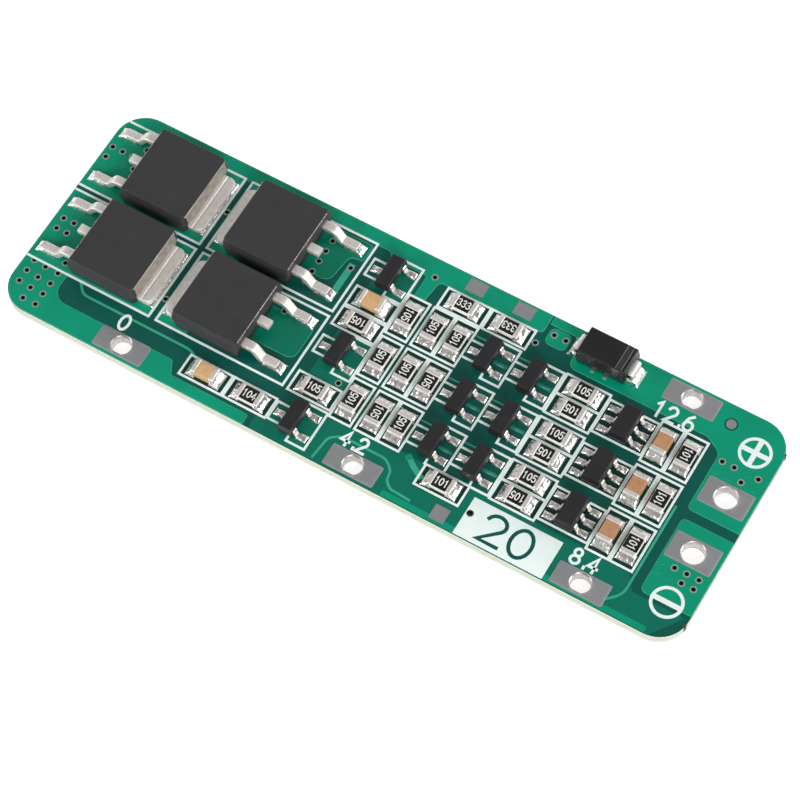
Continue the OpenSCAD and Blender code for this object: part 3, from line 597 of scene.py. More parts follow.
@dataclass(frozen=True)
class SawnLaminate(Finish):
    """FR-4 glass epoxy, cut by a router: pale, dull, and striped with its plies."""

    def work(self, on: Surface) -> None:
        """Add the plies and the torn ends of the yarns.

        Args:
            on: the surface.
        """
        # The texture turns 20 radians for each unit, so a dark band comes every 1.1 mm
        plies = add(on.tree, "ShaderNodeTexWave", {"bands_direction": "Z"},
                    {"Vector": on.where, "Scale": grain(0.18) / 20, "Distortion": 1.5,
                     "Detail": 3.0, "Detail Scale": 4.0})
        fibres = on.clouds(0.12, 4.0)
        both = add(on.tree, "ShaderNodeMath", {"operation": "MULTIPLY"},
                   {0: plies.outputs["Fac"], 1: fibres})
        on.two_colours(both.outputs[0], self.colour, self.other)
        on.relief(fibres, 0.02)


@dataclass(frozen=True)
class ScreenedInk(Finish):
    """Epoxy legend ink, screen printed and cured: matte, a little thin where the mesh held it."""

    def work(self, on: Surface) -> None:
        """Add the thin places and the print of the screen's mesh.

        Args:
            on: the surface.
        """
        self.mottle(on, 0.9, (0.45, 0.8), 4.0)
        # The screen has a mesh of about 0.1 mm
        on.relief(on.clouds(0.1, 1.0), 0.006)


@dataclass(frozen=True)
class LevelledTin(Finish):
    """Tin on copper, dipped and levelled with hot air: dull grey, with frosty grain and soft waves."""

    waves: float = 0.02

    def work(self, on: Surface) -> None:
        """Add the frost, the waves and the uneven gloss.

        Args:
            on: the surface.
        """
        cloud = self.mottle(on, 0.8, (0.35, 0.7), 5.0)
        under = on.relief(on.clouds(0.7, 2.0), self.waves)
        # The frost of tin grains is about 0.06 mm
        on.relief(on.crystals(0.06), 0.004, under)
        self.uneven_gloss(on, cloud, 0.08, 0.1)


@dataclass(frozen=True)
class ReflowedSolder(Finish):
    """Solder paste melted in an oven: bright, lumpy, with dull specks of flux and tin crystals."""

    lumps: float = 0.03

    def work(self, on: Surface) -> None:
        """Add the lumps, the crystals and the dull specks.

        Args:
            on: the surface.
        """
        cloud = self.mottle(on, 0.22, (0.45, 0.7), 4.0)
        under = on.relief(on.clouds(0.5, 1.0), self.lumps)
        on.relief(on.crystals(0.09), 0.0012, under)
        self.uneven_gloss(on, cloud, 0.08, 0.18)


@dataclass(frozen=True)
class BrushedTab(Finish):
    """Rolled and tinned copper of a drain tab: matte silver with fine lines along the roll."""

    def work(self, on: Surface) -> None:
        """Add the roll lines, the stains and the grain.

        Args:
            on: the surface.
        """
        # The lines run along Y: ten times longer than they are wide
        drawn = add(on.tree, "ShaderNodeMapping", None, {"Vector": on.where, "Scale": (1.0, 0.1, 1.0)})
        lines = on.clouds(0.07, 3.0, drawn.outputs["Vector"])
        cloud = self.mottle(on, 0.5, (0.4, 0.75), 5.0)
        on.relief(lines, 0.012)
        self.uneven_gloss(on, cloud, 0.06, 0.12)


@dataclass(frozen=True)
class MouldedEpoxy(Finish):
    """Silica-filled epoxy, transfer moulded: charcoal, with the fine even grain of an eroded mould."""

    depth: float = 0.01

    def work(self, on: Surface) -> None:
        """Add the grain and faint flow clouds.

        Args:
            on: the surface.
        """
        self.mottle(on, 1.6, (0.3, 0.75), 5.0)
        # The mould's grain is about 0.05 mm; it is drawn at 0.09 mm so that it shows
        speck = on.clouds(0.09, 2.0)
        on.relief(speck, self.depth)
        self.uneven_gloss(on, speck, 0.06, 0.1)


@dataclass(frozen=True)
class PrintedGlaze(Finish):
    """Lead-glass glaze, screen printed and fired over a resistor: black, glossy, softly wavy."""

    def work(self, on: Surface) -> None:
        """Add the waves of the fired glass.

        Args:
            on: the surface.
        """
        self.mottle(on, 0.4)
        on.relief(on.clouds(0.35, 1.0), 0.008)


@dataclass(frozen=True)
class FiredCeramic(Finish):
    """Pressed and fired ceramic, snapped from a plate: dull, with pale and dark specks."""

    def work(self, on: Surface) -> None:
        """Add the specks and the rough skin.

        Args:
            on: the surface.
        """
        self.mottle(on, 0.25, (0.4, 0.7), 5.0)
        # The ceramic's grains are a few micrometres; they are drawn at 0.05 mm so that they show
        on.relief(on.clouds(0.05, 2.0), 0.006)


class Stock(Enum):
    """The finishes that the board is made in."""

    MASK_ON_COPPER = SolderMask("solder mask over copper", "#00906f", "#008364", 0.3, ior=1.36)
    # A darker copy of the mask over copper: painted shade of the transistors and leads beside the stub pours
    MASK_WITH_PAINTED_SHADE_ON_STUBS = SolderMask("solder mask over thin copper", "#00745a", "#006950", 0.3, ior=1.36)
    MASK_EDGE = SolderMask("solder mask over a copper edge", "#3aa688", "#2a9577", 0.28, ior=1.36)
    MASK_ON_FAR_COPPER = SolderMask("solder mask over laminate backed with copper", "#006b57", "#006350",
                                    0.32, ior=1.36, weave=0.003)
    MASK_ON_LAMINATE = SolderMask("solder mask over laminate", "#005248", "#004b41", 0.34, ior=1.36,
                                  weave=0.004)
    # Near-black green: painted shade, laid as a sheet inside and just round each printed frame
    MASK_IN_PAINTED_SHADE = SolderMask("solder mask between pads", "#00332b", "#002b25", 0.34, ior=1.36)
    # Near-black: painted shade for the dark inside a via's bore
    PAINTED_BORE_SHADE = SolderMask("solder mask deep in a via", "#030605", "#060b09", 0.6, ior=1.2)
    LAMINATE = SawnLaminate("sawn glass epoxy laminate", "#c6ccc1", "#a9ab8c", 0.75)
    BREAK_OFF = SawnLaminate("scorched break-off mark", "#4a4438", "#2b2721", 0.8)
    LEGEND = ScreenedInk("screen printed legend ink", "#dfeae7", "#d3e4df", 0.6)
    DULL_TIN = LevelledTin("hot air levelled tin", "#b1b2b4", "#9fa0a2", 0.52, 1.0)
    RIM_TIN = LevelledTin("tinned bore rim", "#c9c5c1", "#aaa6a2", 0.3, 1.0, waves=0.01)
    VIA_METAL = LevelledTin("plated via barrel", "#b4c6bb", "#9fada4", 0.6, 1.0, waves=0.01)
    SOLDER = ReflowedSolder("reflowed tin solder", "#f1eeeb", "#c4c0bb", 0.17, 1.0, lumps=0.1)
    LEAD = ReflowedSolder("tin plated copper lead", "#efe9e5", "#d8d0cb", 0.44, 0.85, lumps=0.015)
    TAB = BrushedTab("tinned copper tab", "#efebe7", "#dcd7d2", 0.6, 0.85)
    MOULDING = MouldedEpoxy("transfer moulded epoxy", "#29282a", "#2e2d2f", 0.5)
    # Light grey-brown over the dark moulding: a painted reflection on the transistors' tab ends
    PAINTED_TAB_END_REFLECTION = BrushedTab("polished resin skin", "#928a81", "#6f6963", 0.36)
    # Pale broken strokes: a painted highlight along the transistors' top edges
    PAINTED_EDGE_HIGHLIGHT = MouldedEpoxy("frayed moulding flash", "#cdc8c0", "#7d7871", 0.5)
    SMALL_MOULDING = MouldedEpoxy("fine moulded epoxy", "#161518", "#1c1b1e", 0.42, depth=0.006)
    DIODE_MOULDING = MouldedEpoxy("polished moulded epoxy", "#141315", "#1a191c", 0.28, depth=0.003)
    CATHODE = ScreenedInk("worn cathode stamp", "#2b2a2b", "#1f1e20", 0.45)
    CATHODE_RULE = ScreenedInk("cathode stamp edge", "#77736c", "#55524d", 0.5)
    GLAZE = PrintedGlaze("fired black glaze", "#111012", "#19181b", 0.16)
    MARKING = ScreenedInk("marking ink on glaze", "#e4e4e0", "#c9c9c5", 0.5)
    ALUMINA = FiredCeramic("sintered alumina", "#e9e6de", "#d8d4ca", 0.6)
    PALE_TAN = FiredCeramic("fired pale dielectric", "#caa377", "#bd9365", 0.5)
    DEEP_TAN = FiredCeramic("fired brown dielectric", "#b38560", "#a37350", 0.5)
    END_CAP = ReflowedSolder("barrel plated end cap", "#f0ece9", "#dad5d0", 0.38, 0.8, lumps=0.02)

    def material(self) -> bpy.types.Material:
        """Return the material of this finish."""
        return self.value.material()


# The bare board -----------------------------------------------------------------------------------

@dataclass
class PrintedBoard:
    """The laminate with its copper under green mask, its printed numbers and its edges."""

    pour_t: float = 0.015       # how far the mask stands up over copper
    far_t: float = 0.006        # how far it stands up over copper on the far side
    pour_rim: float = 0.05      # width of the sloping rim of a pour
    number_z: float = 0.035     # height of the printed numbers
    knock_z: float = 0.036      # height of the green that fills a number left out of white print
    rim_z: float = 0.002        # height of a pour's outline, from which its rim slopes up
    via_bore: float = 0.26
    via_lap: float = 0.055      # how far the mask reaches in over a via's ring
    bore_shade_grip: float = 0.045    # how far the near-black plug of painted shade reaches into the wall of its via
    bore_gap: float = 0.05      # how far the mask stays clear of a terminal's bore
    moat_gap: float = 0.07      # from the round pad to the middle of its moat
    moat_w: float = 0.12
    stroke_w: float = 0.22      # width of a number's stroke
    break_offs_at: tuple[float, float] = (2.0, 17.9)    # from the front edge
    covered_at: tuple[tuple[float, float], ...] = (
        (1.35, 14.9), (2.25, 15.0), (57.1, 15.05), (55.05, 14.2), (56.1, 14.2), (58.1, 14.2),
        (56.1, 4.85), (34.7, 3.9), (55.05, 5.7), (55.0, 4.85))
    filled_at: tuple[tuple[float, float], ...] = ((43.05, 17.02), (44.15, 16.98))
    rating_at: tuple[float, float] = (42.3, 0.6)
    rating_h: float = 2.35
    rating_stroke: float = 0.3
    body: Box = field(default_factory=lambda: box_of("circuit_board"))

    @property
    def top(self) -> float:
        """Height of the laminate's upper face."""
        return self.body.high[2]

    def spot(self, x: float, y: float) -> tuple[float, float]:
        """Return a place measured from the board's front left corner.

        Args:
            x: distance from the left end.
            y: distance from the front edge.

        Returns:
            The place in the row frame, in millimetres.
        """
        return self.body.low[0] + x, self.body.low[1] + y

    def build(self) -> None:
        """Make every piece of the bare board."""
        self.laminate()
        self.pours()
        self.bore_shades()
        self.break_offs()
        self.heaps("covered_vias", self.covered_at, 20, Stock.MASK_ON_COPPER, "solder_mask",
                   ((0.3, 0.0), (0.27, 0.03), (0.2, 0.034), (0.13, 0.026), (0.06, 0.018)))
        self.heaps("filled_vias", self.filled_at, 16, Stock.VIA_METAL, "via_metal",
                   ((0.18, 0.0), (0.17, 0.045), (0.11, 0.06), (0.04, 0.066)))
        self.moat()
        self.numbers()

    def laminate(self) -> None:
        """Copy the board's solid and give its faces, edges and bores their own finishes."""
        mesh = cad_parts["circuit_board"].data.copy()
        mesh.name = "laminate"
        mesh.materials.clear()
        for finish in (Stock.MASK_ON_LAMINATE, Stock.LAMINATE, Stock.VIA_METAL):
            mesh.materials.append(finish.material())
        near = 0.02 * MM        # faces this near the board's box belong to its straight edges
        corner = 2.6 * MM       # reach of its round corners
        sag = 0.8 * MM          # how far a round corner lies inside the box
        low, high = (tuple(v * MM for v in p) for p in (self.body.low, self.body.high))
        for face in mesh.polygons:
            x, y, _ = face.center
            from_end, from_side = min(x - low[0], high[0] - x), min(y - low[1], high[1] - y)
            outside = min(from_end, from_side)
            in_corner = from_end < corner and from_side < corner
            if abs(face.normal.z) > 0.5:
                face.material_index = 0
            elif outside < near or (in_corner and outside < sag):
                face.material_index = 1
            else:
                face.material_index = 2
        piece = bpy.data.objects.new("laminate", mesh)
        bpy.context.scene.collection.objects.link(piece)
        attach(piece, "root")
        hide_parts("circuit_board")
        LOG.info("made laminate, %d faces", len(mesh.polygons))

    def outlines(self) -> dict[str, list[tuple[float, float, float]]]:
        """Lay out the copper pours.

        Returns:
            Each one's corners: distance from the left, distance from the front, and radius.
        """
        e, end, back = 0.03, 58.97, 19.77
        return {
            "source_pour_front": [(e, e, 2.45), (22.4, e, 0.1), (22.4, 0.95, 0.2),
                                  (15.5, 0.95, 0.2), (14.9, 2.1, 0.2), (3.85, 2.1, 1.2),
                                  (3.85, 4.5, 0.1), (11.15, 4.5, 0.2), (11.15, 11.2, 0.2),
                                  (e, 11.2, 0.05)],
            "source_pour_back": [(e, 11.75, 0.05), (11.15, 11.75, 0.2), (11.15, 18.5, 0.2),
                                 (24.4, 18.5, 0.2), (24.9, 18.0, 0.2), (28.0, 18.0, 0.2),
                                 (28.0, 16.0, 0.2), (28.95, 16.0, 0.2), (29.2, 18.0, 0.4),
                                 (38.2, 18.0, 0.3), (38.2, back, 0.05), (e, back, 2.45)],
            "drain_pour_front": [(12.0, 4.4, 0.2), (14.6, 4.4, 0.2), (14.6, 11.2, 0.2),
                                 (12.0, 11.2, 0.2)],
            "drain_pour_back": [(12.0, 11.75, 0.2), (14.6, 11.75, 0.2), (14.6, 18.4, 0.2),
                                (12.0, 18.4, 0.2)],
            "stub_pour_front": [(18.4, 6.6, 0.1), (22.9, 6.6, 0.7), (22.9, 9.6, 0.2), (22.0, 9.9, 0.2),
                                (18.4, 9.9, 0.2)],
            "stub_pour_back": [(18.4, 13.8, 0.1), (21.7, 13.8, 0.8), (22.0, 16.5, 0.5),
                               (23.1, 16.7, 0.1), (23.1, 18.3, 0.2), (18.4, 18.3, 0.1)],
            "back_link": [(38.35, 19.0, 0.1), (41.05, 19.0, 0.1), (41.05, back, 0.05),
                          (38.35, back, 0.05)],
            "diode_patch": [(38.6, 17.35, 0.5), (40.4, 17.35, 0.5), (40.4, 18.9, 0.5), (38.6, 18.9, 0.5)],
            "plus_pour": [(41.2, 16.4, 0.7), (53.2, 16.4, 0.4), (54.6, 15.6, 0.8), (54.6, 10.4, 0.4),
                          (end, 10.4, 0.05), (end, back, 2.45), (41.2, back, 0.05)],
            "minus_pour": [(54.7, 2.85, 0.5), (end, 2.85, 0.05), (end, 9.6, 0.05), (54.7, 9.6, 0.4)],
        }

    def traces(self) -> dict[str, tuple[float, list[tuple[float, float, float]]]]:
        """Lay out the traces.

        Returns:
            Each one's width, and the corners of its middle line in the way of a pour's.
        """
        lines = {
            "tap_trace": (0.2, [(28.4, 0.35, 0), (28.6, 2.3, 0.4), (29.5, 2.9, 0.4), (33.3, 2.9, 0.4),
                                (34.1, 2.2, 0.3), (34.2, 1.4, 0.3), (34.8, 0.9, 0.2), (36.5, 0.8, 0)]),
            "sense_trace": (0.2, [(53.85, 10.1, 0), (53.85, 2.0, 0.6), (53.0, 1.1, 0.2), (52.6, 1.0, 0)]),
            "gate_trace": (0.2, [(5.1, 4.3, 0), (5.8, 3.5, 0.4), (15.7, 3.5, 0.5), (16.6, 2.9, 0)]),
            "front_strip": (0.5, [(34.6, 0.34, 0), (56.3, 0.34, 0)]),
            "via_trace": (0.45, [(34.7, 3.9, 0), (35.3, 3.4, 0.2), (36.2, 2.9, 0)]),
            "driver_trace": (0.55, [(22.5, 15.8, 0), (22.5, 13.2, 0.2), (22.4, 12.6, 0)]),
        }
        for row, name in ((-4.15, "front"), (0.0, "middle"), (4.15, "back")):
            y = self.body.middle[1] - self.body.low[1] + row
            for k, x in enumerate((33.7, 37.5)):
                lines[f"{name}_switch_trace_{k}"] = (0.14, [(x, y + 1.28, 0), (x + 1.7, y + 1.28, 0)])
                lines[f"{name}_base_trace_{k}"] = (0.35, [(x + 1.2, y, 0), (x + 3.5, y, 0)])
        return lines

    def far_copper(self) -> dict[str, list[tuple[float, float, float]]]:
        """Lay out the copper on the far side of the board that shows through.

        Returns:
            Each patch's corners, in the way of a pour's.
        """
        return {
            "far_copper_front": [(22.9, 0.07, 0.05), (56.9, 0.07, 0.05), (58.6, 2.5, 0.1),
                                 (54.3, 2.5, 0.4), (53.3, 3.9, 0.2), (37.5, 3.9, 0.5),
                                 (33.5, 4.1, 0.5), (26.5, 3.7, 0.4), (22.9, 2.4, 0.4)],
            "far_copper_driver": [(24.5, 4.4, 0.3), (27.8, 4.4, 0.3), (27.8, 17.6, 0.3), (24.5, 17.6, 0.3)],
        }

    def pours(self) -> None:
        """Raise the mask over each copper pour and trace, with the vias drilled through it."""
        drill = Shape()
        holes = [(ring.middle, ring.size[0] / 2 - self.via_lap, 5) for ring in solids_of("via_barrels")]
        holes += [(box_of(name).middle, bore / 2 + self.bore_gap, 8)
                  for name, bore in Terminals().bores.items()]
        for at, r, steps in holes:
            drill.skin([placed(rounded(2 * r, 2 * r, (r,) * 4, steps), at, self.top + z)
                        for z in (-0.5, 0.5)])
        cutter_mesh = bpy.data.meshes.new("drill")
        cutter_mesh.from_pydata([tuple(c * MM for c in p) for p in drill.points], [], drill.faces)
        cutter = bpy.data.objects.new("drill", cutter_mesh)
        bpy.context.scene.collection.objects.link(cutter)
        for name, corners in self.far_copper().items():
            self.drilled(self.island(name, filleted(corners), self.far_t,
                                     Stock.MASK_ON_FAR_COPPER), cutter)
        for name, corners in self.outlines().items():
            # The stub pours take the darker copy: painted shade from the transistors beside them
            finish = Stock.MASK_WITH_PAINTED_SHADE_ON_STUBS if "stub" in name else Stock.MASK_ON_COPPER
            self.drilled(self.island(name, filleted(corners), self.pour_t, finish), cutter)
        for name, (width, corners) in self.traces().items():
            shape = Shape()
            shape.stroke([self.spot(*p) for p in self.open_line(corners)], width, self.top - SINK,
                         self.top + self.pour_t)
            finish = Stock.MASK_ON_FAR_COPPER if "_base_" in name else \
                Stock.MASK_ON_COPPER if name.endswith("_strip") else Stock.MASK_EDGE
            self.drilled(shape.build(name, (finish,), "solder_mask"), cutter)
        bpy.data.objects.remove(cutter)

    def open_line(self, corners: Sequence[tuple[float, float, float]]) -> list[tuple[float, float]]:
        """Round the inner corners of an open line.

        Args:
            corners: x, y and radius of each.

        Returns:
            The points of the line.
        """
        first, last = corners[0], corners[-1]
        points = [first[:2]]
        for k in range(1, len(corners) - 1):
            a, b, c = (Vector(p[:2]) for p in corners[k - 1:k + 2])
            r = corners[k][2]
            start, end = b + (a - b).normalized() * r, b + (c - b).normalized() * r
            for j in range(5):
                t = j / 4
                points.append(tuple(start * (1 - t) ** 2 + b * 2 * t * (1 - t) + end * t ** 2))
        points.append(last[:2])
        return points

    def island(self, name: str, outline: Sequence[tuple[float, float]], rise: float,
               finish: Stock) -> bpy.types.Object:
        """Make a raised sheet with a sloping rim.

        Args:
            name: the piece's name.
            outline: its outline, measured from the board's front left corner.
            rise: how far it stands up.
            finish: its finish.

        Returns:
            The sheet.
        """
        shape = Shape()
        points = [self.spot(*p) for p in outline]
        low = shape.add((x, y, self.top - SINK) for x, y in points)
        high = shape.add((x, y, self.top + self.rim_z) for x, y in points)
        n = len(points)
        for k in range(n):
            shape.face((low[k], low[(k + 1) % n], high[(k + 1) % n], high[k]), 1)
        shape.face(high, 0)
        shape.face(low[::-1], 1)
        edge = finish if finish is Stock.MASK_ON_FAR_COPPER else Stock.MASK_EDGE
        piece = shape.build(name, (finish, edge), "solder_mask")
        work = bmesh.new()
        work.from_mesh(piece.data)
        lid = max(work.faces, key=lambda f: (len(f.verts), f.calc_center_median().z))
        rim = bmesh.ops.inset_region(work, faces=[lid], thickness=self.pour_rim * MM,
                                     depth=(rise - self.rim_z) * MM, use_even_offset=True)
        for face in rim["faces"]:
            face.material_index = 1
        work.to_mesh(piece.data)
        work.free()
        return piece

    def drilled(self, piece: bpy.types.Object, cutter: bpy.types.Object) -> None:
        """Cut the bores out of a piece for good.

        Args:
            piece: the piece to cut.
            cutter: the bores.
        """
        cut = piece.modifiers.new("drilled", "BOOLEAN")
        cut.operation = "DIFFERENCE"
        cut.solver = "EXACT"
        cut.object = cutter
        bpy.context.view_layer.update()
        mesh = bpy.data.meshes.new_from_object(
            piece.evaluated_get(bpy.context.evaluated_depsgraph_get()))
        piece.modifiers.clear()
        piece.data = mesh

    def bore_shades(self) -> None:
        """Fill each via with a near-black plug: painted shade for the dark inside its bore."""
        shape = Shape()
        legend = Legend()
        (left, front), (l, w) = legend.field_at, legend.field_size
        r = self.via_bore / 2 + self.bore_shade_grip
        for ring in solids_of("via_barrels"):
            x, y, _ = ring.middle
            high = self.knock_z if left < x < left + l and y < front + w else self.pour_t
            shape.skin([placed(circle(r), (x, y), self.top + z) for z in (-0.6, high)])
        shape.build("via_plugs", (Stock.PAINTED_BORE_SHADE,), "solder_mask")

    def break_offs(self) -> None:
        """Darken the two stubs where the board was broken out of its panel."""
        shape = Shape()
        x = self.body.high[0]
        for place in self.break_offs_at:
            y = self.spot(0, place)[1]
            shape.block(Box((x - 0.2, y - 0.15, 0.3), (x, y + 0.15, self.top + 0.012)), 0.05)
        shape.build("break_off_marks", (Stock.BREAK_OFF,), "solder_mask")

    def heaps(self, name: str, places: Sequence[tuple[float, float]], steps: int, finish: Stock,
              slot: str, profile: Sequence[tuple[float, float]]) -> None:
        """Raise the same small round heap at several places.

        Args:
            name: the piece's name.
            places: where the heaps are, measured from the board's front left corner.
            steps: short edges round each heap.
            finish: their finish.
            slot: a material slot's name, handed on to Shape.build.
            profile: radius and height over the board, from the foot inwards.
        """
        shape = Shape()
        for place in places:
            shape.skin([placed(circle(r, steps), self.spot(*place), self.top + z) for r, z in profile])
        shape.build(name, (finish,), slot)

    def moat(self) -> None:
        """Darken the moat round the round pad, where the copper stops."""
        pad = min(solids_of("test_pads"), key=lambda b: b.size[0])
        x, y, _ = pad.middle
        shape = Shape()
        shape.stroke([(x + u, y + v) for u, v in circle(pad.size[0] / 2 + self.moat_gap, 32)],
                     self.moat_w, self.top - SINK, self.top + self.pour_t + 0.004, 0, True)
        shape.build("round_pad_moat", (Stock.MASK_ON_LAMINATE,), "solder_mask")

    def numbers(self) -> None:
        """Print the cell voltages beside their terminals, and the current in the white field."""
        ink = Shape()
        for text, x, y, height in (("0", 9.6, 2.35, 1.3), ("4.2", 29.5, 2.35, 1.2),
                                   ("8.4", 49.1, 2.35, 1.25), ("12.6", 48.6, 16.05, 1.3)):
            Numerals(height, self.stroke_w).write(ink, text, self.spot(x, y), 0.0, self.top,
                                                  self.top + self.number_z)
        ink.build("printed_numbers", (Stock.LEGEND,), "legend_ink")
        gap = Shape()
        Numerals(self.rating_h, self.rating_stroke, 0.72, 0.98).write(
            gap, "20", self.spot(*self.rating_at), 0.0, self.top, self.top + self.knock_z)
        gap.build("rating_number", (Stock.MASK_ON_LAMINATE,), "solder_mask")


@dataclass
class Legend:
    """The white print: a thin frame round every part, the rating field and the polarity marks."""

    line_w: float = 0.19
    ink_t: float = 0.03
    edge_gap: float = 0.05          # bare laminate left at the board's edge
    shade_margin: float = 0.05         # how far the dark sheet of painted shade under a frame reaches past its line
    chip_half: tuple[float, float] = (1.875, 0.915)
    lead_half: tuple[float, float] = (1.9, 1.75)
    tail_half: float = 0.8          # half the width of the narrow bracket, round the single lead
    tail_in: float = 0.65           # how far its ends are from the body's middle
    bracket_in: float = 0.3         # how far the wide bracket starts from the body's middle
    hook_l: float = 0.35
    monitor_half: tuple[float, float] = (2.1, 1.5)
    power_side: float = 3.425       # from a power transistor's middle to the line beside it
    power_tail: float = 4.35        # from its middle to the line past its tab
    power_head: float = 7.05        # from its middle to the line past its leads
    open_from: float = 15.0         # a frame further left of the board's middle is open on the left
    corner_r: float = 2.5           # radius of the board's corners
    field_at: tuple[float, float] = (11.095, -9.8)
    field_size: tuple[float, float] = (7.5, 3.35)
    sign_r: float = 1.3
    ring_w: float = 0.25
    bar_w: float = 0.4
    plus_at: tuple[float, float] = (27.4, 7.055)
    minus_at: tuple[float, float] = (27.4, -6.895)
    printed: int = 0
    body: Box = field(default_factory=lambda: box_of("circuit_board"))

    def build(self) -> None:
        """Print the whole legend."""
        shape = Shape()
        for node in sorted(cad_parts):
            if node.endswith(("_resistor_bodies", "_capacitor_bodies", "_capacitor_body")):
                for box in solids_of(node):
                    half = self.chip_half if box.size[0] > box.size[1] else self.chip_half[::-1]
                    self.ring(shape, box.middle, half)
            elif node.endswith("_transistor_bodies") or node == "driver_bodies":
                for box in solids_of(node):
                    self.brackets(shape, box.middle)
            elif node.endswith("_monitor_body"):
                self.ring(shape, box_of(node).middle, self.monitor_half)
            elif node.endswith("_mosfet_body"):
                self.power_frame(shape, box_of(node).middle)
        x, y = self.field_at
        top = self.body.high[2]
        l, w = self.field_size
        shape.block(Box((x, y, top - SINK), (x + l, y + w, top + self.ink_t)), 0.01, 0, 0.05)
        self.sign(shape, self.plus_at, True)
        self.sign(shape, self.minus_at, False)
        shape.build("white_print", (Stock.LEGEND, Stock.MASK_IN_PAINTED_SHADE), "legend_ink", ("legend_print",))

    def line(self, shape: Shape, points: Sequence[tuple[float, float]], looped: bool = False,
             width: float = 0.0) -> None:
        """Print a line.

        Args:
            shape: the shape that it goes into.
            points: its corners.
            looped: whether it closes on itself.
            width: its width, or nothing for the usual width.
        """
        top = self.body.high[2]
        # No two strokes that cross are quite the same height
        self.printed = (self.printed + 1) % 7
        shape.stroke(points, width or self.line_w, top - SINK,
                     top + self.ink_t + 0.0008 * self.printed, 0, looped)

    def ring(self, shape: Shape, at: Sequence[float], half: tuple[float, float]) -> None:
        """Print a closed frame, over a dark sheet of painted shade that fills it and reaches a little past
        it.

        Args:
            shape: the shape that it goes into.
            at: its middle.
            half: half its length and half its width.
        """
        x, y = at[:2]
        l, w = half
        self.line(shape, [(x - l, y - w), (x + l, y - w), (x + l, y + w), (x - l, y + w)], True)
        # The sheet in the second finish is painted shade, darkening the mask inside and round the frame
        top, out = self.body.high[2], self.line_w / 2 + self.shade_margin
        shape.block(Box((x - l - out, y - w - out, top - SINK),
                        (x + l + out, y + w + out, top + 0.008 + 0.0008 * self.printed)), 0.002, 1, 0.1)

    def brackets(self, shape: Shape, at: Sequence[float]) -> None:
        """Print the two brackets round the pads of a three-lead part.

        Args:
            shape: the shape that they go into.
            at: the middle of the part.
        """
        x, y = at[:2]
        l, w = self.lead_half
        t, end, start = self.tail_half, x - self.tail_in, x + self.bracket_in
        self.line(shape, [(end, y - t), (x - l, y - t), (x - l, y + t), (end, y + t)])
        self.line(shape, [(start, y - w + self.hook_l), (start, y - w), (x + l, y - w),
                          (x + l, y + w), (start, y + w)])

    def power_frame(self, shape: Shape, at: Sequence[float]) -> None:
        """Print the frame round a power transistor, open at the board's end on the left.

        Args:
            shape: the shape that it goes into.
            at: the middle of the transistor.
        """
        x, y = at[:2]
        low, high = y - self.power_side, y + self.power_side
        if x > self.body.middle[0] - self.open_from:
            self.line(shape, [(x - self.power_tail, low), (x + self.power_head, low),
                              (x + self.power_head, high), (x - self.power_tail, high)], True)
            return
        ends = [self.end_at(v) for v in (low, high)]
        self.line(shape, [(ends[0], low), (x + self.power_tail, low), (x + self.power_tail, high),
                          (ends[1], high)])

    def end_at(self, y: float) -> float:
        """Return where a line that runs left has to stop at the board's end.

        Args:
            y: height of the line on the board.

        Returns:
            Its left end.
        """
        r = self.corner_r
        past = max(0.0, abs(y - self.body.middle[1]) - (self.body.size[1] / 2 - r))
        return self.body.low[0] + r + self.line_w / 2 - math.sqrt((r - self.edge_gap) ** 2 - past ** 2)

    def sign(self, shape: Shape, at: tuple[float, float], plus: bool) -> None:
        """Print a polarity mark: a ring with a bar or a cross in it.

        Args:
            shape: the shape that it goes into.
            at: its middle.
            plus: whether it has both bars.
        """
        x, y = at
        r = self.sign_r - self.ring_w / 2
        self.line(shape, [(x + u, y + v) for u, v in circle(r, 40)], True, self.ring_w)
        inner, half = self.sign_r - self.ring_w, self.bar_w / 2
        self.line(shape, [(x - inner, y), (x + inner, y)], False, self.bar_w)
        if plus:
            for s in (-1, 1):
                self.line(shape, [(x, y + s * half), (x, y + s * inner)], False, self.bar_w)


